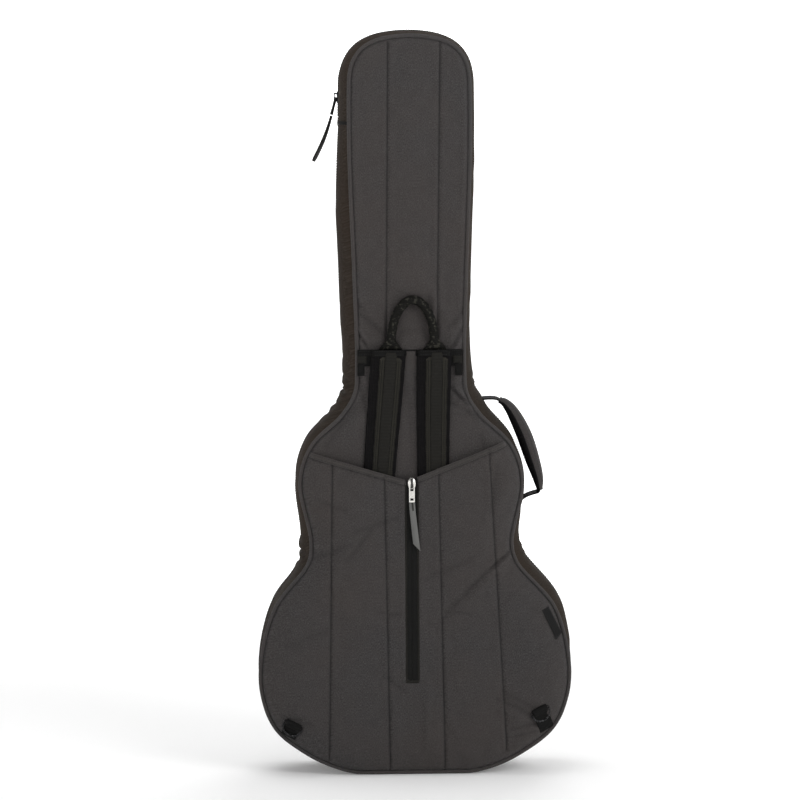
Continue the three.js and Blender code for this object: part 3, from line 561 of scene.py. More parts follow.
def heathered(name, color, fleck=0.45, sheen=0.04, specular=0.16):
    """Two-tone woven polyester: flecks along the threads over a fine plain weave. Seam grooves, fold
    valleys and the rim by the piping get painted shade.
    """
    m = Shader(name, roughness=0.88, specular=specular)
    flecks = m.ramp(m.noise(900, 2.0, (1, 0.45, 1), m.flat), 0.35, 0.65)
    streaks = m.ramp(m.noise(260, 3.0, (1, 0.2, 1), m.flat), 0.3, 0.7)
    cloud = m.ramp(m.noise(7, 3.0), 0.3, 0.7)
    base = m.mix(flecks, scaled(color, 1 - fleck), scaled(color, 1 + fleck))
    base = m.mix(m.math("MULTIPLY", streaks, 0.5), base, scaled(color, 0.78))
    warm = (color[0] * 1.16, color[1], color[2] * 0.9)
    base = m.mix(m.math("MULTIPLY", cloud, 0.45), base, warm)
    base = m.worn_edges(base, scaled(color, 1.9), 0.35)
    # painted shade: the seam attribute darkens the cloth towards scaled(color, 0.15) in seam grooves,
    # fold valleys, along the edge and under the hem
    seam = m.node("Attribute", attribute_name="seam").outputs["Fac"]
    base = m.mix(m.math("MULTIPLY", seam, 0.55), base, scaled(color, 0.15))
    weave = m.math("MULTIPLY", m.waves("X", 0.0009, 0.6), m.waves("Y", 0.0009, 0.6))
    height = m.math("ADD", weave, m.math("MULTIPLY", flecks, 0.5))
    rough = m.math("ADD", m.math("MULTIPLY", m.ramp(streaks, -1.0, 2.0), 0.15), 0.8)
    return m.finish(base, height, 0.35, 0.0004, sheen, rough)


def webbing(name, color, rib=0.0021, roughness=0.68, flecks=0.0):
    """Woven tape: ribs across, fine threads along, dusty high spots and perhaps pale flecks."""
    m = Shader(name, roughness=roughness, specular=0.1)
    ribs = m.waves("Y", rib, 0.3)
    threads = m.waves("X", 0.0011, 0.5)
    dust = m.ramp(m.noise(160, 4.0), 0.45, 0.75)
    base = m.mix(ribs, scaled(color, 0.55), scaled(color, 1.35))
    base = m.mix(m.math("MULTIPLY", dust, 0.25), base, scaled(color, 1.9))
    if flecks:
        pale = m.ramp(m.noise(210, 3.0, (1, 0.6, 1)), 0.56, 0.62)
        base = m.mix(m.math("MULTIPLY", pale, flecks), base, scaled(color, 11))
    base = m.worn_edges(base, scaled(color, 3.0), 0.4)
    height = m.math("ADD", ribs, m.math("MULTIPLY", threads, 0.5))
    rough = m.math("ADD", m.math("MULTIPLY", dust, 0.2), roughness)
    return m.finish(base, height, 0.6, 0.0005, rough=rough)


def spacer_mesh(name, color):
    """Black air mesh: a close grid of round holes."""
    m = Shader(name, roughness=0.85, specular=0.08)
    cells = m.node("TexVoronoi", {"Vector": m.flat, "Scale": 480.0, "Randomness": 0.15})
    net = m.ramp(cells.outputs["Distance"], 0.1, 0.5)
    dust = m.ramp(m.noise(90, 3.0), 0.4, 0.8)
    base = m.mix(net, scaled(color, 0.25), scaled(color, 1.6))
    base = m.mix(m.math("MULTIPLY", dust, 0.2), base, scaled(color, 2.4))
    return m.finish(base, net, 0.8, 0.0007)


def metal(name, color, roughness, worn):
    m = Shader(name, roughness=roughness, metallic=1.0, specular=0.5)
    scratches = m.ramp(m.noise(300, 4.0, (1, 0.15, 1)), 0.45, 0.7)
    base = m.mix(m.math("MULTIPLY", scratches, 0.25), color, scaled(color, 0.7))
    base = m.worn_edges(base, worn, 0.6)
    rough = m.math("ADD", m.math("MULTIPLY", scratches, 0.14), roughness)
    return m.finish(base, scratches, 0.08, 0.0001, rough=rough)


def moulded(name, color, roughness=0.45, specular=0.3):
    """Moulded plastic or rubberised strip with a fine spark grain."""
    m = Shader(name, roughness=roughness, specular=specular)
    grain = m.noise(1400, 2.0)
    smear = m.ramp(m.noise(60, 3.0), 0.35, 0.7)
    base = m.mix(m.math("MULTIPLY", smear, 0.3), color, scaled(color, 1.35))
    base = m.worn_edges(base, scaled(color, 2.2), 0.5)
    rough = m.math("ADD", m.math("MULTIPLY", smear, 0.18), roughness)
    return m.finish(base, grain, 0.25, 0.0002, rough=rough)


def plush(name, color):
    """Brushed lining cloth."""
    m = Shader(name, roughness=0.95, specular=0.15)
    nap = m.noise(420, 4.0)
    patches = m.ramp(m.noise(22, 3.0), 0.35, 0.7)
    base = m.mix(m.ramp(nap, 0.3, 0.7), scaled(color, 0.75), scaled(color, 1.2))
    base = m.mix(m.math("MULTIPLY", patches, 0.35), base, scaled(color, 1.3))
    return m.finish(base, nap, 0.7, 0.0012, 0.5)


M = {
    "shell": heathered("shell_fabric", (0.0356, 0.0332, 0.0332)),
    "side": heathered("side_fabric", (0.0272, 0.0220, 0.0180), sheen=0.0, specular=0.06),
    "piping": heathered("piping_fabric", (0.0365, 0.0342, 0.0342), 0.25),
    "hem": heathered("hem_fabric", (0.0368, 0.0344, 0.0336), 0.25),
    "webbing": webbing("black_webbing", (0.0040, 0.0039, 0.0037)),
    "handle": webbing("handle_webbing", (0.0044, 0.0042, 0.0034), 0.0026, flecks=0.5),
    "band": webbing("olive_binding", (0.0200, 0.0187, 0.0152), 0.0013),
    "centre": webbing("strap_webbing", (0.0106, 0.0100, 0.0086), 0.0022),
    "mesh": spacer_mesh("spacer_mesh", (0.0035, 0.0032, 0.0034)),
    "tape": webbing("zip_tape", (0.0076, 0.0076, 0.0072), 0.0012, roughness=0.75),
    "teeth": moulded("zip_coil", (0.008, 0.008, 0.008), 0.4),
    "nickel": metal("polished_nickel", (0.42, 0.41, 0.39), 0.24, (0.75, 0.74, 0.7)),
    "black_metal": moulded("blackened_metal", (0.009, 0.009, 0.0095), 0.35, 0.12),
    "black_nickel": metal("black_nickel", (0.03, 0.03, 0.031), 0.16, (0.3, 0.3, 0.3)),
    "plastic": moulded("black_plastic", (0.01, 0.01, 0.01)),
    "grey_tab": moulded("grey_pull_strip", (0.0660, 0.0660, 0.0634), 0.55),
    "dark_tab": moulded("dark_pull_strip", (0.012, 0.0115, 0.010), 0.6),
    "label": webbing("label_weave", (0.0104, 0.0102, 0.0102), 0.0008),
    "thread": moulded("seam_thread", (0.0064, 0.0060, 0.0060), 0.7),
    "lining": plush("lining_plush", (0.12, 0.12, 0.128)),
}


def paint(obj, *names):
    obj.data.materials.clear()
    for name in names:
        obj.data.materials.append(M[name])
    return obj


def describe(obj, slot, replaced):
    if replaced:
        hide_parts(*replaced)
    return obj


def place(obj, body, slot, *replaced):
    """Puts a finished piece on its body."""
    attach(obj, body)
    return describe(obj, slot, replaced)


def place_on_bag(obj, slot, *replaced):
    return place(obj, "bag", slot, *replaced)


def across_fold(obj, slot, *replaced):
    """A piece that crosses the lid's fold line: its transform is baked in, and the parts it replaces
    are hidden.
    """
    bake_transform(obj)
    return describe(obj, slot, replaced)


def strip(name, path, side, section, material, slot, *replaced, body="bag"):
    """A swept piece of one material, on its body."""
    return place(paint(sweep(name, path, side, section), material), body, slot, *replaced)


# ---- camera, light and floor ----
VIEW_DISTANCE = 6.0  # this and the next two in metres
VIEW_WIDTH = 1.2076  # what the frame spans at the bag
AIM = Vector((-0.0152, -0.030, 0.5655))
AZIMUTH, ELEVATION, ROLL = -2.0, 5.0, -0.3  # degrees
SENSOR = 36.0
# name, place, size, power and target
LIGHTS = [
    ("key", (2.4, -3.0, 2.6), 1.8, 66, (0.0, 0.0, 0.6)),
    ("side", (3.2, -0.9, 1.0), 1.4, 10, (0.0, 0.0, 0.6)),
    ("fill", (-3.0, -3.0, 1.2), 2.6, 14, (0.0, 0.0, 0.6)),
    ("top", (-0.4, 0.2, 3.4), 2.0, 34, (0.0, 0.0, 0.5)),
    ("front", (1.0, 3.0, 2.4), 2.0, 45, (0.0, 0.0, 0.5)),
]
# The round floor and its low rim, in metres: radius and height.
FLOOR_PROFILE = [
    (0.001, 0), (1, 0), (2, 0), (4, 0), (8, 0), (20, 0), (58, 0), (60, 0.6), (60.5, 3), (60.6, 12),
]
FLOOR_DROP = 0.0005
FLOOR_SIDES = 96


def build_camera():
    camera = bpy.data.objects.new("camera", bpy.data.cameras.new("camera"))
    scene.collection.objects.link(camera)
    azimuth, elevation, roll = (math.radians(a) for a in (AZIMUTH, ELEVATION, ROLL))
    level = math.cos(elevation)
    away = Vector((math.sin(azimuth) * level, -math.cos(azimuth) * level, math.sin(elevation)))
    camera.location = AIM + away * VIEW_DISTANCE
    camera.rotation_mode = "QUATERNION"
    turned = Quaternion((0, 0, 1), roll)
    camera.rotation_quaternion = (-away).to_track_quat("-Z", "Y") @ turned
    camera.data.sensor_width = SENSOR
    camera.data.lens = SENSOR * VIEW_DISTANCE / VIEW_WIDTH
    scene.camera = camera


def floor_material():
    """Pale, and glowing away from the bag, so that it stays white as far as it is seen."""
    pale = bpy.data.materials.new("floor")
    pale.use_nodes = True
    pale.cycles.emission_sampling = "NONE"
    made, links = pale.node_tree.nodes, pale.node_tree.links
    principled = made["Principled BSDF"]
    principled.inputs["Base Color"].default_value = (0.9, 0.9, 0.9, 1)
    principled.inputs["Roughness"].default_value = 0.9
    principled.inputs["Emission Color"].default_value = (1, 1, 1, 1)
    length = made.new("ShaderNodeVectorMath")
    length.operation = "LENGTH"
    glow = made.new("ShaderNodeMapRange")
    glow.interpolation_type = "SMOOTHSTEP"
    glow.inputs["From Min"].default_value = 0.9
    glow.inputs["From Max"].default_value = 3.2
    glow.inputs["To Min"].default_value = 0.12
    links.new(made.new("ShaderNodeNewGeometry").outputs["Position"], length.inputs[0])
    links.new(length.outputs["Value"], glow.inputs["Value"])
    links.new(glow.outputs["Result"], principled.inputs["Emission Strength"])
    return pale


def build_stage():
    build_camera()
    turns = np.linspace(0, 2 * np.pi, FLOOR_SIDES + 1)[:-1]
    around = np.column_stack([np.cos(turns), np.sin(turns), np.zeros(FLOOR_SIDES)])
    rings = [around * r + (0, 0, z - FLOOR_DROP) for r, z in FLOOR_PROFILE]
    faces = []
    for low in range(0, (len(rings) - 1) * FLOOR_SIDES, FLOOR_SIDES):
        high = low + FLOOR_SIDES
        for j in range(FLOOR_SIDES):
            k = (j + 1) % FLOOR_SIDES
            faces.append((low + j, low + k, high + k, high + j))
    floor = bpy.data.objects.new("floor", bpy.data.meshes.new("floor"))
    floor.data.from_pydata(np.vstack(rings).tolist(), [], faces)
    floor.data.shade_smooth()
    scene.collection.objects.link(floor)
    floor.data.materials.append(floor_material())

    scene.world = bpy.data.worlds.new("studio")
    scene.world.use_nodes = True
    background = scene.world.node_tree.nodes["Background"]
    background.inputs["Color"].default_value = (1, 1, 1, 1)
    background.inputs["Strength"].default_value = 0.4
    for name, where, size, power, target in LIGHTS:
        data = bpy.data.lights.new(name, "AREA")
        data.size = size
        data.energy = power
        lamp = bpy.data.objects.new(name, data)
        lamp.location = where
        aimed = (Vector(target) - Vector(where)).to_track_quat("-Z", "Y")
        lamp.rotation_euler = aimed.to_euler()
        scene.collection.objects.link(lamp)
    scene.view_settings.view_transform = "Standard"


# ---- quilted panels ----
NECK_SEAMS = [((-32, 1104), (-37.5, 560)), ((46, 1104), (38.5, 560))]
POCKET_SEAMS = [
    ((-118.5, 488), (-125.8, 26)), ((-41, 462), (-34, 6)),
    ((40.5, 470), (49, 6)), ((116, 502), (142, 38)),
]
# Folds in the panels: start, end, half width and depth. The slack at the neck's foot is drawn into
# folds round the webbing band.
BACK_CREASES = [
    ((-84, 676), (-60, 641), 3.4, 4.2), ((-86, 668), (-74, 642), 3.0, 2.6),
    ((-80, 702), (-36, 664), 6, 2.8), ((-88, 726), (-66, 700), 5, 1.8),
    ((-30, 642), (-12, 672), 5, 1.6), ((-78, 612), (-66, 540), 5, 2.0),
    ((60, 586), (86, 560), 3.2, 4.2), ((56, 566), (106, 538), 7, 2.2),
    ((62, 548), (96, 546), 5, 1.8), ((80, 678), (58, 643), 4, 3.0),
    ((70, 656), (56, 640), 3, 2.0), ((84, 708), (58, 676), 6, 2.0),
    ((104, 516), (112, 486), 5, 1.8), ((-82, 560), (-128, 500), 9, 1.8),
    ((-4, 590), (2, 470), 8, 1.4), ((28, 728), (22, 690), 6, 1.2),
]
POCKET_CREASES = [
    ((156, 346), (104, 302), 3.6, 4.0), ((112, 310), (66, 262), 6, 3.2),
    ((70, 268), (44, 236), 8, 2.0), ((-150, 330), (-92, 352), 8, 2.2),
    ((52, 250), (88, 246), 6, 2.0), ((180, 92), (128, 116), 6, 2.6),
    ((198, 80), (150, 70), 5, 3.0), ((190, 66), (140, 56), 5, 2.4),
    ((186, 100), (140, 126), 8, 2.0), ((-196, 92), (-150, 80), 6, 2.0),
    ((-84, 372), (-22, 392), 9, 1.8), ((130, 470), (118, 400), 8, 2.0),
    ((-140, 420), (-100, 404), 8, 1.8), ((20, 300), (92, 330), 10, 1.6),
    ((-190, 200), (-120, 226), 10, 1.4), ((-96, 330), (-60, 376), 8, 2.0),
    ((-50, 250), (-18, 246), 6, 1.6), ((-40, 150), (-10, 128), 6, 1.8),
]
FRONT_SEAMS = [((-34, 1104), (-34, 6)), ((42, 1104), (42, 6))]
BACK_FACE, FRONT_FACE = -1, 1


def distance_to_lines(co, lines):
    return segment_distance(co[:, [0, 2]], lines)


def crease(co, a, b, width, depth):
    """A fold from a to b in the panel, deepest in its middle: a valley with a soft ridge beside it."""
    a, b = np.array(a, float), np.array(b, float)
    flat = co[:, [0, 2]]
    along = (b - a) / np.linalg.norm(b - a)
    s = ((flat - a) @ along) / np.linalg.norm(b - a)
    d = (flat - a) @ np.array([-along[1], along[0]])
    window = np.exp(-((s - 0.45) / 0.38) ** 4)
    ridge = 0.8 * np.exp(-((d - 1.7 * width) / (1.3 * width)) ** 2)
    return depth * window * (np.exp(-(d / width) ** 2) - ridge)


def sew(obj, lines, outward, folds=(), hem=None):
    """Presses folds, stitch channels and a rolled edge into a sheet, and stores painted shade for them
    in the seam attribute.
    """
    co = coords(obj)
    for a, b, width, depth in folds:
        co[:, 1] += crease(co, a, b, width, depth)
    edge = inset_distance(co[:, 0], co[:, 2])
    off = distance_to_lines(co, lines)
    co[:, 1] -= outward * (2.0 * np.exp(-(off / 2.4) ** 2) + 3.0 * np.exp(-(edge / 4.6) ** 2))
    set_coords(obj, co)
    # painted shade in the stitch channels and along the rolled edge by the piping
    seam = np.maximum(np.exp(-(off / 1.1) ** 2), np.exp(-(edge / 2.4) ** 2))
    # painted shade in the fold valleys, stronger for deeper folds
    for a, b, width, depth in folds:
        valley = np.exp(-(distance_to_lines(co, [(a, b)]) / (0.45 * width)) ** 2)
        seam = np.maximum(seam, min(0.17 * depth, 0.7) * valley)
    # painted shade along a line just under the stow pocket's hem
    if hem:
        seam = np.maximum(seam, 0.9 * np.exp(-((hem(co[:, 0]) - co[:, 2]) / 1.8) ** 2))
    obj.data.attributes.new("seam", "FLOAT", "POINT").data.foreach_set("value", seam)


def seam_threads(prefix, obj, lines, outward, body, low, high):
    """Stitching along a panel's seams between two heights."""
    tree = surface_tree(obj)
    for i, ends in enumerate(lines):
        points = [p for p in resample(ends, 2.0) if low < p[1] < high]
        row = on_surface(tree, points, outward, 0.15)
        place(stitches(f"{prefix}_stitch_{i}", row), body, "shell")


def pinned_points(obj, lines):
    """Which points of a panel its edge and its seams hold."""
    co = coords(obj)
    return (inset_distance(co[:, 0], co[:, 2]) < 3.5) | (distance_to_lines(co, lines) < 2.0)


def build_back_shell():
    flat = lambda x, z: np.full(len(x), BACK_Y)
    shell = flat_sheet("back_shell", line.offset(-1.8), 6.5, flat, NECK_SEAMS)
    face_to(shell, (0, -1, 0))
    puff(shell, pinned_points(shell, NECK_SEAMS), 3.2, 0.015)
    refine(shell)
    sew(shell, NECK_SEAMS, BACK_FACE, BACK_CREASES)
    seam_threads("back_shell", shell, NECK_SEAMS, BACK_FACE, "bag", 645, 1100)
    paint(thicken(shell, 3.2), "shell")
    place(shell, "bag", "shell", "back_panel")


MOUTH_STEP = 2.5  # the mouth's right half starts this much higher


def mouth_z(x, lift=0.0):
    """Height of the stow pocket's V-shaped mouth."""
    left = (STOW_LEFT_Z - STOW_APEX[1]) / 157
    right = (STOW_RIGHT_Z - STOW_APEX[1] - MOUTH_STEP) / 152
    run = np.asarray(x, float) - STOW_APEX[0]
    return STOW_APEX[1] + lift + np.where(run < 0, -run * left, MOUTH_STEP + run * right)


# The D-rings press the pocket in here: x, z and depth.
RING_DENTS = [(196, 80, 3.4), (-184, 64, 1.6)]


def pocket_height(x, z):
    """How far the stow pocket stands off the back panel."""
    d = np.clip((inset_distance(x, z) - 2) / 50, 0, 1)
    dent = sum(depth * np.exp(-((x - cx) ** 2 + (z - cz) ** 2) / 22 ** 2)
               for cx, cz, depth in RING_DENTS)
    return np.maximum(1.0 + (POCKET_RISE - 1.6) * (1 - (1 - d) ** 2.2) - dent, 0.8)


def stow_face(x, z):
    return BACK_Y - pocket_height(x, z)


def pocket_loop():
    loop = line.offset(-2.2)
    below = loop[:, 1] < mouth_z(loop[:, 0])
    start = line.count // 2 + int(np.argmax(below[line.count // 2:]))
    end = int(np.nonzero(below[:line.count // 2])[0][-1])
    rim = np.vstack([loop[start:], loop[:end + 1]])
    right = [(x, mouth_z(x)) for x in np.linspace(loop[end, 0] - 1, STOW_SLOT, 30)]
    down = [(STOW_SLOT, z) for z in np.arange(mouth_z(STOW_SLOT) - 5, STOW_ZIP_FOOT, -5)]
    foot = [(STOW_SLOT, STOW_ZIP_FOOT), (0, STOW_ZIP_FOOT), (-STOW_SLOT, STOW_ZIP_FOOT)]
    up = [(-STOW_SLOT, z) for z in np.arange(STOW_ZIP_FOOT + 5, mouth_z(-STOW_SLOT) - 3, 5)]
    left = [(x, mouth_z(x)) for x in np.linspace(-STOW_SLOT, loop[start, 0] + 1, 30)]
    return np.vstack([rim, right, down, foot, up, left])


def build_stow_pocket():
    loop = pocket_loop()
    pocket = flat_sheet("stow_pocket_panel", loop, 6.0, stow_face, POCKET_SEAMS)
    face_to(pocket, (0, -1, 0))
    x, _, z = coords(pocket).T
    from_slot = np.maximum(np.abs(x) - STOW_SLOT, 0) + np.maximum(STOW_ZIP_FOOT - z, 0)
    held = pinned_points(pocket, POCKET_SEAMS) | (from_slot < 4) | (mouth_z(x) - z < 5)
    puff(pocket, held, 3.4, 0.018)
    refine(pocket)
    # hem: the line under the hem where sew paints shade
    sew(pocket, POCKET_SEAMS, BACK_FACE, POCKET_CREASES, hem=lambda x: mouth_z(x, -8.4))
    co = coords(pocket)
    # the panel lies flat below the zip
    beside = 1 - smooth((np.abs(co[:, 0]) - 12) / 10)
    near = beside * smooth((co[:, 2] - 20) / 20) * (co[:, 2] < STOW_ZIP_FOOT)
    co[:, 1] += near * np.maximum(BACK_Y - POCKET_RISE + 1.4 - co[:, 1], 0)
    set_coords(pocket, co)
    tree = surface_tree(pocket)
    seam_threads("stow_pocket", pocket, POCKET_SEAMS, BACK_FACE, "bag", 12, 480)
    paint(thicken(pocket, 2.2), "shell")
    place(pocket, "bag", "shell", "stow_pocket")
    build_hem(tree)
    build_stow_zip()
    return tree


def build_hem(tree):
    """The mouth's folded hem: a rounded strip along each slope, with two rows of stitching."""
    reach = {"left": np.arange(-158, -9, 3.0), "right": np.arange(9, 154, 3.0)}
    for side, xs in reach.items():
        path = on_surface(tree, np.column_stack([xs, mouth_z(xs, -3.7)]), BACK_FACE, 0.6)
        path[:, 1] -= 0.35 * np.sin(path[:, 0] * 0.21) + 0.25 * np.sin(path[:, 0] * 0.09)
        count = np.arange(len(path))
        path[:, 1] += (1 - smooth(np.minimum(count, count[::-1]) / 3.0)) * 0.8
        slope = np.gradient(path, axis=0)
        hem = strip(f"stow_hem_{side}_strip", path, lambda i: np.cross(slope[i], (0, 1, 0)),
                    superellipse(7.8, 3.4, 3.2, 18), "hem", "shell_side", f"stow_hem_{side}")
        hem_tree = surface_tree(hem)
        for row, lift in enumerate((-1.5, -6.0)):
            points = np.column_stack([xs, mouth_z(xs, lift)])
            rows = on_surface(hem_tree, points, BACK_FACE, 0.1)
            thread = stitches(f"stow_hem_{side}_stitch_{row}", rows, 3.6, 2.6, 0.32)
            place(thread, "bag", "shell_side")


def build_stow_zip():
    """Covered zip: two flat flaps meet over the coil, framed by a stitched fold of the panel."""
    zs = np.arange(STOW_ZIP_FOOT - 1, STOW_APEX[1] - 2, 3.0)
    ones = np.ones(len(zs))
    lip = stow_face(ones * (STOW_SLOT + 3.0), zs)
    for name, side in (("left", -1), ("right", 1)):
        wavy = STOW_TAPE_Y + 0.25 * np.sin(zs * 0.11 + side)
        path = np.column_stack([ones * side * 4.5, wavy, zs])
        strip(f"stow_zip_flap_{name}", path, (side, 0, 0), superellipse(8.8, 1.3, 5.0, 20),
              "tape", "zip_tape", f"stow_zip_tape_{name}")
        edge = np.column_stack([ones * side * (STOW_SLOT + 0.6), lip + 0.1, zs])
        strip(f"stow_zip_fold_{name}", edge, (side, 0, 0), superellipse(3.0, 2.6, 2.4, 12),
              "centre", "shell")
        row = np.column_stack([ones * side * 6.9, lip + 0.35, zs])
        place(stitches(f"stow_zip_stitch_{name}", row, 3.6, 2.6, 0.3), "bag", "zip_tape")
    xs = np.arange(-STOW_SLOT - 1.5, STOW_SLOT + 2, 1.5)
    bottom = [(x, lip[0] - 0.1, STOW_ZIP_FOOT - 1.8) for x in xs]
    strip("stow_zip_fold_foot", bottom, (0, 0, 1), superellipse(4.4, 2.8, 2.4, 12),
          "centre", "zip_tape", "stow_zip_end_tab")


# ---- side walls ----
WALL_INSIDE = -8.0
TAPE_HALF = 13.0
EDGE = 5.8  # the wall starts this far from the face, behind the piping
WALL_BACK_Y = BACK_Y + EDGE
SEAT = 2.2  # the wall's offset where it meets the piping
WALL_STITCH = (4.0, 2.9, 0.36)
# Folds where the wall is pulled round a tight curve: side, height, depth, half width, slant.
FOLDS = [
    (-1, 618, 1.8, 5, 0.34), (-1, 601, 3.4, 6, 0.16), (-1, 585, 2.4, 4, -0.10),
    (-1, 571, 3.8, 6, 0.05), (-1, 556, 2.6, 5, -0.24), (-1, 541, 1.6, 6, -0.34),
    (-1, 354, 1.4, 6, 0.18), (-1, 333, 3.2, 6, 0.02), (-1, 320, 1.8, 5, -0.16),
    (-1, 700, 0.6, 12, 0.3), (-1, 870, 0.6, 16, -0.2), (-1, 214, 0.5, 12, 0.2),
    (-1, 130, 0.5, 14, -0.2), (1, 597, 1.3, 5, -0.2), (1, 583, 1.7, 6, 0.06),
    (1, 402, 0.8, 8, 0.2), (1, 350, 1.0, 6, -0.16), (1, 334, 2.2, 6, 0.0),
    (1, 318, 1.2, 6, 0.2), (1, 262, 0.7, 9, -0.2), (1, 716, 0.5, 12, -0.3),
    (1, 905, 0.5, 14, 0.2), (1, 180, 0.6, 12, 0.2), (1, 84, 0.5, 10, 0.1),
]
FOLD_ARCS = [(line.arc[line.level(side, z)], *rest) for side, z, *rest in FOLDS]


def wall_folds(i, y):
    """Outward push of the wall's wrinkles at station i."""
    total = 0.5 * noise.noise(Vector((line.arc[i] / 46, y / 30, 3.1)))
    for arc, depth, width, slant in FOLD_ARCS:
        apart = (line.arc[i] - arc + line.length / 2) % line.length - line.length / 2
        d = apart + slant * (y + 20)
        if abs(d) < 6 * width:
            ridge = 0.7 * math.exp(-((d - 1.5 * width) / (1.2 * width)) ** 2)
            valley = math.exp(-(d / (0.75 * width)) ** 2)
            far_ridge = 0.5 * math.exp(-((d + 1.6 * width) / (1.2 * width)) ** 2)
            total += depth * (ridge - valley + far_ridge)
    return total


def bulge(i, y, y0, y1):
    """Outward offset of the padded wall between its edges: from piping to piping or to the tape."""
    back = smooth_rise((y - y0) / 40)
    front = 1.0 if y1 < 30 else smooth_rise((y1 - y) / 34)
    folds = wall_folds(i, y) * min(1.0, (y - y0) / 16, (y1 - y) / 12)
    return SEAT + (line.swell[i] - 1.9) * min(back, front) + folds


def smooth_rise(t):
    return 1 - (1 - min(max(t, 0), 1)) ** 2.4


def back_rows(i):
    b = line.swell[i]
    y0, y1 = WALL_BACK_Y, ZIP_Y - TAPE_HALF
    rows = [(bulge(i, y, y0, y1 + 6), y) for y in np.linspace(y0, y1, 17)]
    rows += [(b - 0.4, y1 + 0.9), (b - 1.9, y1 + 1.0)]
    rows += [(b - 1.9, ZIP_Y - 7), (WALL_INSIDE, ZIP_Y - 6.6)]
    return rows + [(WALL_INSIDE, y) for y in np.linspace(ZIP_Y - 16, y0, 5)]


def front_edge(i):
    return front_y(FRONT_Y, line.point[i, 1]) - EDGE


def front_rows(i):
    b = line.swell[i]
    y0, y1 = ZIP_Y + TAPE_HALF, front_edge(i)
    push = lambda y: wall_folds(i, y) * min(1.0, (y - y0) / 14, (y1 - y) / 12)
    rise = lambda y: SEAT + (b - 1.9) * smooth_rise((y1 - y) / 34)
    rows = [(WALL_INSIDE, ZIP_Y + 6.6), (b - 1.9, ZIP_Y + 7)]
    rows += [(b - 1.9, y0 - 1.0), (b - 0.4, y0 - 0.9)]
    rows += [(rise(y) + push(y), y) for y in np.linspace(y0, y1, 13)]
    return rows + [(WALL_INSIDE, y) for y in np.linspace(y1, ZIP_Y + 16, 4)]


def full_rows(i):
    y0, y1 = WALL_BACK_Y, front_edge(i)
    rows = [(bulge(i, y, y0, y1), y) for y in np.linspace(y0, y1, 34)]
    return rows + [(WALL_INSIDE, y) for y in np.linspace(y1, y0, 6)]


def two_faced(obj, outer, inner):
    """Outer cloth outside and lining inside."""
    paint(obj, outer, inner)
    for face in obj.data.polygons:
        i = line.nearest(face.center.x / MM, face.center.z / MM)
        across = face.normal.x * line.out[i, 0] + face.normal.z * line.out[i, 1]
        face.material_index = 1 if across < -0.5 else 0
    return obj


def wall_path(stations, n, y):
    """A line of points along the wall, n outwards of its swell."""
    return np.array([line.at(line.arc[i], n, y) for i in stations])


def build_walls(zipped):
    lined = lambda name, stations, rows: two_faced(wall(name, stations, rows), "side", "lining")
    hinge = lined("hinge_wall", line.run(HEAD_LEFT, FOOT_LEFT + 1), full_rows)
    place_on_bag(hinge, "shell_side", "hinge_gusset")
    back = lined("back_wall", zipped, back_rows)
    place_on_bag(back, "shell_side", "back_gusset")
    front = lined("front_wall", zipped, front_rows)
    across_fold(front, "shell_side", "head_gusset", "lid_gusset")
    for name, side, finish in (("back", -1, place_on_bag), ("front", 1, across_fold)):
        row = wall_path(zipped[1:-1], 0.75, ZIP_Y + side * (TAPE_HALF + 1.8))
        finish(stitches(f"{name}_wall_stitch", row, *WALL_STITCH), "shell_side")
    row = wall_path(line.run(HEAD_LEFT + 1, FOOT_LEFT)[2:-2], 0.5, ZIP_Y - 2)
    place_on_bag(stitches("hinge_wall_stitch", row, *WALL_STITCH), "shell_side")
    # tapes over the joints between the zipped wall and the hinge wall
    for name, i, finish in (("head", HEAD_LEFT, place_on_bag), ("foot", FOOT_LEFT + 1, across_fold)):
        path = wall_crossing(i)
        along = (-line.out[i, 1], 0, line.out[i, 0])
        behind, before = path[:, 1] < ZIP_Y - 11, path[:, 1] > ZIP_Y + 11
        for half, chosen, fix in (("back", behind, place_on_bag), ("front", before, finish)):
            shape = superellipse(5, 1.3, 4, 16)
            tape = sweep(f"wall_joint_{name}_{half}", path[chosen], along, shape)
            fix(paint(tape, "tape"), "zip_tape")


def wall_crossing(i):
    """Points across the wall from piping to piping, just outside the cloth."""
    y0, y1 = WALL_BACK_Y, front_y(FRONT_Y - EDGE - 0.6, line.point[i, 1])
    path = []
    for y in np.linspace(y0 + 0.5, y1 - 0.5, 40):
        x, z = line.point[i] + line.out[i] * (bulge(i, y, y0, y1) + 0.7)
        path.append((x, y, z))
    return np.array(path)


def build_main_zip(zipped):
    for name, side, finish, replaced in (
        ("back", -1, place_on_bag, ["main_zip_tape_back"]),
        ("front", 1, across_fold, ["main_zip_tape_head", "main_zip_tape_lid"]),
    ):
        ys = ZIP_Y + side * np.linspace(1.5, TAPE_HALF - 0.4, 5)

        def rows(i):
            b = line.swell[i]
            return [(b - 1.5, y) for y in ys] + [(b - 0.3, y) for y in ys[::-1]]

        tape = paint(wall(f"main_zip_{name}", zipped[1:-1], rows), "tape")
        finish(tape, "zip_tape", *replaced)
        finish(teeth(f"main_zip_coil_{name}", zipped[2:-2], side), "zip_tape")
    # short bars that close the zip's two ends
    for name, i in (("top", HEAD_LEFT), ("foot", FOOT_LEFT + 2)):
        path = [line.at(line.arc[i] + s, 0.2, ZIP_Y) for s in np.linspace(-5, 5, 4)]
        shape = superellipse(13, 2.4, 3, 16)
        strip(f"main_zip_stop_{name}", path, (0, 1, 0), shape, "tape", "zip_tape")


TOOTH_PITCH = 2.8


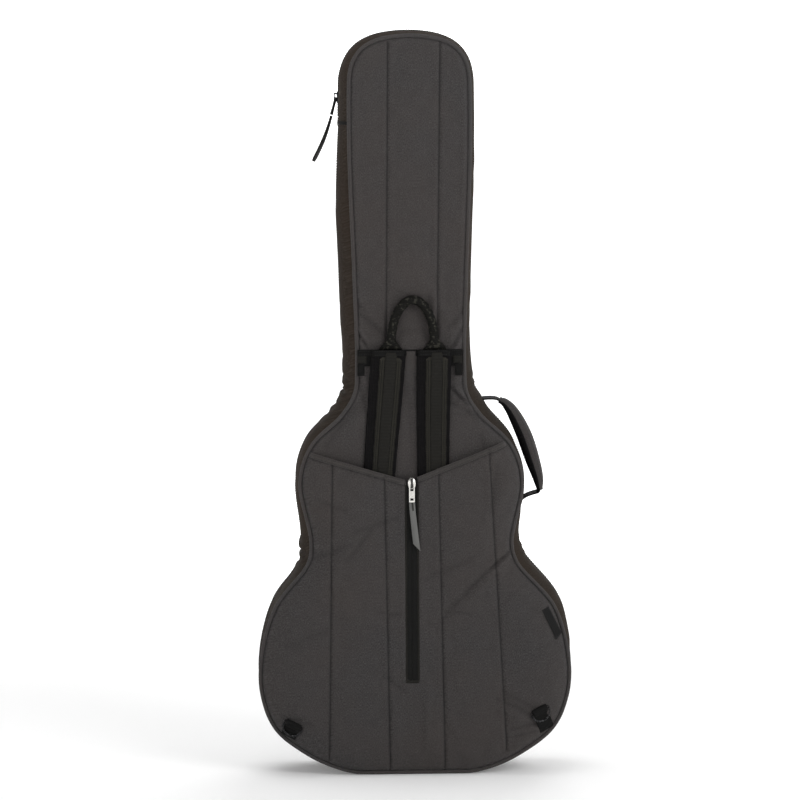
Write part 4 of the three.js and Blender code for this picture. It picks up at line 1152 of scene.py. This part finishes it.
def teeth(name, stations, side):
    """A row of zip teeth along the wall, on one side of the zip."""
    start = line.arc[stations[0]] + (TOOTH_PITCH / 2 if side > 0 else 0)
    length = (line.arc[stations[-1]] - line.arc[stations[0]]) % line.length
    quads = ((0, 1, 2, 3), (7, 6, 5, 4), (0, 4, 5, 1), (1, 5, 6, 2), (2, 6, 7, 3), (3, 7, 4, 0))
    verts, faces = [], []
    for k in range(int(length // TOOTH_PITCH)):
        base = len(verts)
        for n in (-1.0, 1.0):
            for ds, y in ((-0.55, 3.0), (0.55, 3.0), (0.75, -0.9), (-0.75, -0.9)):
                half = n * (0.8 if y > 0 else 0.95)
                verts.append(line.at(start + k * TOOTH_PITCH + ds, half, ZIP_Y + side * y))
        faces += [tuple(base + q for q in quad) for quad in quads]
    return paint(fix_normals(new_object(name, verts, faces, smooth_shade=False)), "teeth")


def build_piping():
    circle = superellipse(2 * PIPING_R, 2 * PIPING_R, 2, 14)

    def rows(i, face):
        wobble = 0.25 * noise.noise(Vector((line.arc[i] / 23, face / 50, 0)))
        return np.column_stack([circle[:, 0] * (1 + wobble / 3) + 1, circle[:, 1] + face])

    back = wall("back_piping_cord", range(line.count), lambda i: rows(i, BACK_Y + PIPING_R), True)
    place_on_bag(paint(back, "piping"), "piping", "back_piping")
    face = lambda i: front_y(FRONT_Y - PIPING_R, line.point[i, 1])
    front = wall("front_piping_cord", range(line.count), lambda i: rows(i, face(i)), True)
    across_fold(paint(front, "piping"), "piping", "wing_piping", "lid_piping")


# ---- lid, linings and lid pocket ----
def front_plane(depth):
    return lambda x, z: front_y(FRONT_Y - depth, z)


def build_front_shell():
    lines = FRONT_SEAMS + [((FOLD_X, 1085), (FOLD_X, 14))]
    shell = flat_sheet("front_shell", line.offset(-1.2), 6.5, front_plane(0), lines)
    face_to(shell, (0, 1, 0))
    puff(shell, pinned_points(shell, lines), 3.0, 0.015)
    refine(shell)
    sew(shell, lines, FRONT_FACE)
    seam_threads("front_shell", shell, FRONT_SEAMS, FRONT_FACE, "lid", LID_POCKET_TOP + 2, 1200)
    across_fold(paint(thicken(shell, 3.2), "shell"), "shell", "wing_panel", "lid_panel")


def build_linings():
    """Foam panels faced with plush, front and back. Each is a soft slab with a rolled edge."""
    depth, inset = 16.0, 9.0
    fold = [((FOLD_X + shift, 1070), (FOLD_X + shift, 22)) for shift in (-9, 0, 9)]
    back_plane = lambda x, z: np.full(len(x), BACK_Y + depth)
    for name, plane, outward, seams in (
        ("back_lining", back_plane, 1, []),
        ("front_lining", front_plane(depth + 0.4), -1, fold),
    ):
        slab = face_to(flat_sheet(name, line.offset(-inset), 8.0, plane, seams), (0, outward, 0))
        co = coords(slab)
        edge = inset_distance(co[:, 0], co[:, 2]) - inset
        waves = 0.5 * np.sin(co[:, 0] / 31) * np.sin(co[:, 2] / 37)
        co[:, 1] += outward * (waves - 4.0 * np.exp(-(edge / 5.0) ** 2))
        set_coords(slab, co)
        paint(thicken(slab, 7.0), "lining")
        if name == "back_lining":
            place_on_bag(slab, "lining", "back_padding")
        else:
            across_fold(slab, "lining", "wing_padding", "lid_padding")


def lid_pocket_loop(inset=0.0):
    side = line.offset(-LID_POCKET_FOOT - inset)
    left, low, top = LID_POCKET_LEFT + inset, 20.0 + inset, LID_POCKET_TOP - inset
    rim = side[(line.point[:, 0] > 0) & (side[:, 1] < top) & (side[:, 0] > 30)]
    rim = rim[rim[:, 1] > low]
    foot = [(x, low) for x in np.arange(left, rim[0, 0] - 4, 8)]
    head = [(x, top) for x in np.arange(rim[-1, 0] - 2, left, -8)]
    down = [(left, z) for z in np.arange(top, low + 4, -8)]
    return np.vstack([foot, rim, head, down])


def loop_distance(loop, co):
    """Distance from the edge of a closed loop."""
    fine = resample(np.vstack([loop, loop[:1]]), 3.0)
    return np.array([np.hypot(fine[:, 0] - x, fine[:, 1] - z).min() for x, _, z in co])


def lid_zip_distance(co):
    """Distance from the lid pocket's zip channel."""
    beside = np.maximum(np.abs(co[:, 0] - LID_ZIP_X) - 6, 0)
    beyond = np.maximum(np.maximum(LID_ZIP_Z[0] - co[:, 2], co[:, 2] - LID_ZIP_Z[1]), 0)
    return np.hypot(beside, beyond)


def build_lid_pocket():
    loop = lid_pocket_loop()
    pocket = face_to(flat_sheet("lid_pocket_panel", loop, 6.0, front_plane(-1)), (0, 1, 0))
    co = coords(pocket)
    depth = loop_distance(loop, co)
    co[:, 1] += (POCKET_RISE - 2.2) * (1 - (1 - np.clip(depth / 34, 0, 1)) ** 2.2)
    set_coords(pocket, co)
    puff(pocket, (depth < 3) | (lid_zip_distance(co) < 10), 3.2, 0.018)
    refine(pocket)
    co = coords(pocket)
    depth = loop_distance(loop, co)
    channel = 5.2 * np.exp(-(lid_zip_distance(co) / 3.0) ** 2)
    co[:, 1] -= channel + 1.2 * np.exp(-((depth - 4) / 2.0) ** 2)
    set_coords(pocket, co)
    inner = lid_pocket_loop(4.0)
    around = resample(np.vstack([inner, inner[:1]]), 3.0)
    row = on_surface(surface_tree(pocket), around, FRONT_FACE, 0.15)
    place(stitches("lid_pocket_stitch", row), "lid", "shell")
    place(paint(thicken(pocket, 2.2), "shell"), "lid", "shell", "lid_pocket")
    zs = np.arange(LID_ZIP_Z[0] + 1, LID_ZIP_Z[1], 3.0)
    for name, side in (("left", -1), ("right", 1)):
        path = [(LID_ZIP_X + side * 5.0, front_y(FRONT_Y + POCKET_RISE - 1.2, z), z) for z in zs]
        shape = superellipse(9.0, 2.0, 3, 16)
        strip(f"lid_zip_{name}", path, (1, 0, 0), shape,
              "tape", "zip_tape", f"lid_zip_tape_{name}", body="lid")


# ---- shoulder straps and yoke ----
STRAPS = {"left": ((-34.0, 643.0), (-63, 250)), "right": ((34.5, 643.0), (31, 250))}
# Layers: CAD name, material, slot, width, thickness, depth in front of the panel, start, radius of
# the top corners, and the section's power
STRAP_LAYERS = [
    ("pad", "mesh", "mesh", 52.5, 7.8, 5.6, 0.0, 5.0, 2.6),
    ("band", "band", "strap_band", 33.0, 2.0, 10.0, 9.0, 5.0, 4.0),
    ("webbing", "centre", "webbing", 16.6, 1.9, 11.4, 2.0, 2.0, 5.0),
]
BAND_SHIFT = 4.2  # the band and the webbing lie off the pad's middle
STRAP_NARROWS = 5.0
# Rows of stitches on each band: name, distance from its middle and depth in front of the panel.
BAND_STITCHES = [("outer", 15.6, 10.9), ("inner", 8.9, 11.2), ("binding", 12.4, 11.0)]


def strap_path(side, depth, start=0.0, foot=250.0):
    """A strap's middle line. It lies over the yoke band, then closer to the panel, to its foot."""
    a, b = (np.array(p, float) for p in STRAPS[side])
    along = (b - a) / np.linalg.norm(b - a)
    phase = 1.0 if side == "left" else 2.3
    points = []
    for s in np.arange(start, (a[1] - foot) / -along[1], 4.0):
        x, z = a + along * s
        lift = 1.6 * (1 - smooth((s - 34) / 40))
        y = BACK_Y - depth - lift + 0.35 * math.sin(s / 33)
        points.append((x + 0.6 * math.sin(s / 47 + phase), y, z))
    return np.array(points)


def strap_section(width, thick, length, radius, power):
    """A layer's section: rounded at its top corners, and a little narrower further down."""
    def section(t):
        s = t * length
        share = math.sqrt(max(1 - (1 - min(s, radius) / radius) ** 2, 0.02))
        cut = radius * (1 - share)
        narrow = STRAP_NARROWS * smooth(s / 240) * width / 52
        pucker = 0.25 * math.sin(s / 5.3) + 0.2 * math.sin(s / 3.1 + 1)
        across = width - 2 * cut - narrow + pucker
        return superellipse(across, thick * (0.5 + 0.5 * share), power, 26)
    return section


def build_strap(side):
    a, b = (np.array(p, float) for p in STRAPS[side])
    along = (b - a) / np.linalg.norm(b - a)
    across = np.array([-along[1], 0, along[0]])
    for name, material, slot, width, thick, depth, start, radius, power in STRAP_LAYERS:
        path = strap_path(side, depth, start)
        if name != "pad":
            path += across * BAND_SHIFT
        section = strap_section(width, thick, 4.0 * (len(path) - 1), radius, power)
        piece = strip(f"strap_{name}_cloth_{side}", path, across, section,
                      material, slot, f"strap_{name}_{side}")
    for name, offset, depth in BAND_STITCHES:
        for k, sign in (("a", -1), ("b", 1)):
            path = strap_path(side, depth, 14.0, 420.0)
            shrink = 1 - 0.09 * smooth((path[0, 2] - path[:, 2]) / 240)
            path += across * (BAND_SHIFT + sign * offset * shrink)[:, None]
            row = stitches(f"strap_{name}_stitch_{side}_{k}", path, 3.2, 2.9, 0.5, "webbing")
            place_on_bag(row, "strap_band")
    # the webbing's doubled tail, inside the pocket
    x = STRAPS[side][1][0]
    zs = np.arange(139.0, 218.5, 4.0)
    for k, y in enumerate((-72.6, -69.6)):
        path = [(x, y + 0.25 * math.sin(z / 9 + k), z) for z in zs]
        strip(f"strap_tail_cloth_{side}_{k}", path, (1, 0, 0), superellipse(25, 1.5, 5, 18),
              "webbing", "webbing", *([f"strap_tail_{side}"] if k == 0 else []))


def over_straps(x):
    """How far the binding tape stands off the panel where it crosses the straps' tops."""
    tops = [STRAPS[side][0][0] for side in ("left", "right")]
    near = max(1 - smooth((abs(x - top) - 20) / 8) for top in tops)
    return 2.6 + 9.4 * near


def build_yoke():
    """Webbing band behind the straps' tops, with a tape sewn over them. The band's ends turn down."""
    band = [(x, -66.7, 632.2) for x in np.arange(-79, 77.6, 3.0)]
    flat, upright = (1, 0, 0), (0, 0, 1)
    strip("yoke_webbing", band, upright, superellipse(25, 2.0, 6, 24),
          "webbing", "webbing", "yoke_band")
    for side, x0, x1, inwards in (("left", -66.5, -80, -1.5), ("right", 63.5, 77, 1.5)):
        inlay = [(x, -67.9, 631.0) for x in np.linspace(x0, x1, 7)]
        shape = superellipse(13, 0.8, 5, 16)
        strip(f"yoke_inlay_{side}", inlay, upright, shape, "centre", "webbing")
        end = [((x0 + x1) / 2 + inwards, -67.8, z) for z in np.arange(623.0, 605.0, -2.5)]
        shape = superellipse(10.5, 1.8, 5, 20)
        strip(f"yoke_end_{side}", end, flat, shape, "webbing", "webbing")
    tape = [(x, BACK_Y - over_straps(x), 639.8) for x in np.arange(-80, 78.1, 1.5)]
    shape = superellipse(9.6, 1.8, 5, 20)
    strip("yoke_binding", tape, upright, shape, "webbing", "webbing")
    for row, z in enumerate((637.2, 642.6)):
        points = [(x, BACK_Y - over_straps(x) - 1.0, z) for x in np.arange(-78, 76, 2.0)]
        place_on_bag(stitches(f"yoke_stitch_{row}", points, 3.4, 2.5, 0.28), "webbing")
    patch = [(0.6, -67.4 + 1.2 * smooth((621 - z) / 16), z) for z in np.arange(642, 605.5, -2.0)]
    strip("yoke_patch", patch, flat, superellipse(21, 3.0, 5, 22), "hem", "shell")
    seam = [(x, -68.2, 614.0) for x in np.arange(-8, 10.5, 1.5)]
    place_on_bag(stitches("yoke_patch_stitch", seam, 3.4, 2.6, 0.34), "shell")


# ---- handles ----
def build_loop_handle():
    """Webbing wrapped round a core: a thick arch whose feet spread into flares under the tape."""
    middle, span, foot, top, radius = 3.0, 33.0, 645.0, 719.5, 6.9
    turn = np.linspace(math.pi, 0, 61)
    x = middle + span * np.sign(np.cos(turn)) * np.abs(np.cos(turn)) ** 1.05
    height = foot + (top - foot) * np.sin(turn) ** 0.84
    arch = np.column_stack([x, np.full(len(turn), BACK_Y - 9.4), height])
    flare = [(0, -67.4, 638), (-0.2, -68.4, 644), (0, -71.8, 651)]
    left = [(middle - span + dx, y, z) for dx, y, z in flare]
    right = [(middle + span - dx, y, z) for dx, y, z in flare[::-1]]
    path = smooth_path([*left, *arch[5:-5:4], *right], 1.6)
    length = np.linalg.norm(np.diff(path, axis=0), axis=1).sum()

    def section(t):
        spread = 1 - smooth((min(t, 1 - t) * length - 5) / 20)
        ring = superellipse(1, 1, 2 + 2 * spread, 32)
        angle = np.arctan2(ring[:, 1], ring[:, 0])
        # each turn of the wrapping webbing is a slanting ridge with a sharp valley beside it
        lay = (angle + t * length / 1.9) / (2 * math.pi) % 1
        wrap = (0.95 * lay ** 0.8 - 0.3) * (1 - spread)
        width = 2 * radius + 22 * spread
        thick = 2 * radius - 10.4 * spread
        return np.column_stack([ring[:, 0] * (width + wrap), ring[:, 1] * (thick + wrap)])

    def side(i):
        return np.cross(path[min(i + 1, len(path) - 1)] - path[max(i - 1, 0)], (0, 1, 0))

    handle = paint(sweep("loop_handle_wrap", path, side, section), "handle")
    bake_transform(handle)
    describe(handle, "webbing", ["loop_handle", "handle_tab_left", "handle_tab_right"])


GRIP_Y = -20.0
GRIP_LINE = [
    (136, 563.5), (145, 558.5), (157, 543), (173, 510), (186.5, 469.5), (193.5, 446), (196.5, 427),
]
HANDLE_STRAPS = {
    "upper": [(88, 561), (104, 565.5), (118, 567.0), (130, 566.4), (139, 562)],
    "lower": [(166, 412), (176, 418.5), (187, 422.5), (194, 424.5), (196.5, 430)],
}


def build_side_handle():
    path = smooth_path([(x, GRIP_Y, z) for x, z in GRIP_LINE], 2.5)
    last = len(path) - 1

    def half_size(t):
        """Half the grip's width and half its thickness. Both shrink towards its ends."""
        full = math.sin(math.pi * min(max(t, 0.02), 0.98)) ** 0.5
        return 10 + 7 * full, 2.6 + 9.2 * full

    def section(t):
        width, thick = half_size(t)
        return superellipse(2 * width, 2 * thick, 2.3, 32)

    def outward(i):
        tangent = path[min(i + 1, last)] - path[max(i - 1, 0)]
        return np.array([-tangent[2], 0, tangent[0]]) / np.linalg.norm(tangent)

    grip = paint(sweep("side_grip_pad", path, (0, 1, 0), section), "shell", "mesh")
    for face in grip.data.polygons:
        x, _, z = face.center / MM
        i = int(np.argmin(np.hypot(path[:, 0] - x, path[:, 2] - z)))
        face.material_index = 0 if np.dot(outward(i), face.normal) > -0.05 else 1
    place(grip, "side_handle", "shell_side", "side_grip")
    for k, side in enumerate((-1, 1)):
        edge = []
        for i in range(4, last - 3):
            width, thick = half_size(i / last)
            edge.append(path[i] + (0, side * width * 0.9, 0) + outward(i) * thick * 0.52)
        row = stitches(f"side_grip_stitch_{k}", edge, *WALL_STITCH)
        place(row, "side_handle", "shell_side")
    for name, points in HANDLE_STRAPS.items():
        hang = smooth_path([(x, GRIP_Y, z) for x, z in points], 2.0)
        # the webbing hangs a little skew, so that its face shows
        strip(f"side_strap_{name}", hang, (0, 1, 0.1), superellipse(24, 2.6, 6, 20),
              "webbing", "webbing", f"handle_strap_{name}")


# ---- small parts ----
def build_d_ring(side, tree):
    joint = next(j for j in frame["joints"] if j["name"] == f"d_ring_{side}_swing")
    node = nodes[f"d_ring_{side}"]
    paint(node, "black_nickel")
    rounded = node.modifiers.new("round", "SUBSURF")
    rounded.levels = rounded.render_levels = 2
    node.data.shade_smooth()
    bar = np.array(joint["pos_m"], float) / MM
    along = np.array(joint["axis"], float)
    along /= np.linalg.norm(along)
    down = np.mean([v.co for v in node.data.vertices], axis=0) / MM - bar
    down -= along * down.dot(along)
    down /= np.linalg.norm(down)
    inward = np.cross(down, along)
    inward *= 1 if inward[1] > 0 else -1
    below = lambda d: (bar + down * d)[[0, 2]]
    seam = next(d for d in np.arange(16, 44, 1.0) if inset_distance(*below(d))[0] < 2.5)
    # the tab runs up the panel from the seam, round the ring's bar and back down
    wrap = 3.3
    angles = np.linspace(0.2, math.pi - 0.2, 9)
    profile = [(-wrap * math.sin(a), wrap * math.cos(a)) for a in angles] + [(3, -3.3), (6, -3.0)]
    loop = [bar + down * d + inward * h for d, h in profile]
    flat = on_surface(tree, [below(d) for d in np.arange(seam, 6, -3.0)], BACK_FACE, 0.9)
    strip(f"d_ring_tab_cloth_{side}", smooth_path([*flat, *loop], 1.2), tuple(along),
          superellipse(24, 1.5, 7, 20), "webbing", "webbing", f"d_ring_tab_{side}")


LABEL = np.array([(195.5, 250), (206, 255), (226, 214.5), (217.5, 205)], float)
LABEL_ROWS, LABEL_COLUMNS = 14, 7


def build_label():
    """Plain woven label caught in the right seam."""
    verts, faces = [], []
    for t in np.linspace(0, 1, LABEL_ROWS):
        a, b = LABEL[0] + (LABEL[3] - LABEL[0]) * t, LABEL[1] + (LABEL[2] - LABEL[1]) * t
        for u in np.linspace(0, 1, LABEL_COLUMNS):
            x, z = a + (b - a) * u
            face = stow_face(np.array([x]), np.array([z]))[0]
            verts.append((x, face - 2.6 - 0.5 * math.sin(3 * t) * (1 - u), z))
    for r in range(0, (LABEL_ROWS - 1) * LABEL_COLUMNS, LABEL_COLUMNS):
        for i in range(r, r + LABEL_COLUMNS - 1):
            faces.append((i, i + 1, i + LABEL_COLUMNS + 1, i + LABEL_COLUMNS))
    label = face_to(new_object("side_label_cloth", verts, faces), (0, -1, 0))
    place_on_bag(paint(thicken(label, 0.9), "label"), "label", "side_label")


def build_inner_pads():
    """Foam neck rest and end bumper inside the bag, covered in lining."""
    for node in ("neck_rest", "end_bumper"):
        pad = bpy.data.objects.new(f"{node}_pad", nodes[node].data.copy())
        scene.collection.objects.link(pad)
        remesh = pad.modifiers.new("remesh", "REMESH")
        remesh.mode = "VOXEL"
        remesh.voxel_size = 0.004
        soften = pad.modifiers.new("soften", "SMOOTH")
        soften.iterations = 6
        soften.factor = 0.6
        apply_modifiers(pad)
        pad.data.shade_smooth()
        place(paint(pad, "lining"), "bag", "lining", node)


FINISHES = {
    "stow_pull": "nickel",
    "lid_slider": "nickel", "lid_pull": "nickel", "lid_pull_tab": "grey_tab",
    "main_slider": "black_metal",
    "strap_buckle_left": "plastic", "strap_buckle_right": "plastic",
    "snap_hook_left": "black_metal", "snap_hook_right": "black_metal",
}


def dress_hardware():
    for name, material in FINISHES.items():
        node = paint(nodes[name], material)
        bevel = node.modifiers.new("bevel", "BEVEL")
        bevel.width = 0.0005
        bevel.segments = 3
        bevel.limit_method = "ANGLE"
        bevel.harden_normals = True
        node.data.shade_smooth()


def plate(name, outline, y0, y1, round_over=0.5):
    """A flat plate with softened rims, between y0 and y1. outline holds (x, z) points."""
    outline = np.asarray(outline, float)
    middle = outline.mean(axis=0)
    shrunk = middle + (outline - middle) * (1 - round_over / np.abs(outline - middle).max())
    levels = [(shrunk, y0), (outline, y0 + round_over), (outline, y1 - round_over), (shrunk, y1)]
    return loft(name, [np.column_stack([p[:, 0], np.full(len(p), y), p[:, 1]]) for p, y in levels])


def build_main_pull():
    """The pull's bar, and its strip, which hangs a little twisted."""
    top, foot = np.array([-115.2, 10.0, 993.4]), np.array([-143.0, 10.0, 925.0])
    count = 30
    points = [top + (foot - top) * t + (2.5 * math.sin(math.pi * t), 0, 0)
              for t in np.linspace(0, 1, count)]

    def section(t):
        width = 8 + 4.5 * smooth(t * 1.6) - 5 * smooth((t - 0.94) / 0.06)
        return superellipse(width, 2.4, 4, 20)

    strip("main_pull_strip", points, lambda i: (0.42 + 0.14 * i / (count - 1), 1, 0), section,
          "dark_tab", "dark_tab", "main_pull_tab", body="main_pull")
    hang = [(-108.2, 1021.5), (-109.2, 1017.5), (-112.0, 1007.0), (-115.2, 995.0)]
    strip("main_pull_bar", smooth_path([(x, ZIP_Y, z) for x, z in hang], 2.0), (0, 1, 0),
          lambda t: superellipse(8.4, 5.4 - 1.2 * math.sin(math.pi * t), 3, 20),
          "black_metal", "black_metal", "main_pull", body="main_pull")


SLIDER_Z = 444.0
# The leather strip leans to the right; a dark tongue holds it to the pull.
PULL_STRIP = [(-4.4, 415.4), (4.6, 415.4), (5.6, 400), (12.2, 342.4), (1.4, 353.6), (-3.4, 400)]
PULL_TONGUE = [(-0.8, 415.4), (2.0, 415.4), (2.9, 403.6), (0.6, 403.6)]


def build_stow_slider():
    """Two oval plates joined by a post, with a crown that carries the pull."""
    y = STOW_TAPE_Y
    oval = superellipse(11.8, 17, 2.3, 32) + (0, SLIDER_Z)
    post = superellipse(1.8, 5, 4, 16) + (0, SLIDER_Z + 5.5)
    front = paint(plate("stow_slider_front", oval, y - 3.6, y - 1.8), "nickel")
    place(front, "stow_slider", "nickel", "stow_slider")
    for name, outline, y0, y1 in (("back", oval, 1.8, 3.4), ("post", post, -2, 2)):
        piece = paint(plate(f"stow_slider_{name}", outline, y + y0, y + y1), "nickel")
        place(piece, "stow_slider", "nickel")
    # painted shade: the crown is blackened metal, not nickel, so that it stands in for the dark gap
    # between the crown and the pull's eye
    arch = [(0, y - 3.3 - 4.1 * math.sin(a) ** 0.6, SLIDER_Z + 0.5 + 6.6 * math.cos(a))
            for a in np.linspace(0, math.pi, 17)]
    strip("stow_slider_shaded_crown", arch, (1, 0, 0), superellipse(2.8, 1.3, 4, 16),
          "black_metal", "black_metal", body="stow_slider")
    leather = paint(plate("stow_pull_leather", PULL_STRIP, -87.0, -84.6, 0.4), "grey_tab")
    place(leather, "stow_pull", "grey_tab", "stow_pull_tab")
    tongue = paint(plate("stow_pull_tongue", PULL_TONGUE, -87.6, -86.8, 0.2), "dark_tab")
    place(tongue, "stow_pull", "dark_tab")


build_stage()
build_back_shell()
pocket_surface = build_stow_pocket()
zipped_stations = line.run(FOOT_LEFT + 1, HEAD_LEFT)
build_walls(zipped_stations)
build_main_zip(zipped_stations)
build_piping()
build_front_shell()
build_linings()
build_lid_pocket()
build_yoke()
for strap in STRAPS:
    build_strap(strap)
build_loop_handle()
build_side_handle()
for ring in ("left", "right"):
    build_d_ring(ring, pocket_surface)
build_label()
build_inner_pads()
build_main_pull()
build_stow_slider()
dress_hardware()
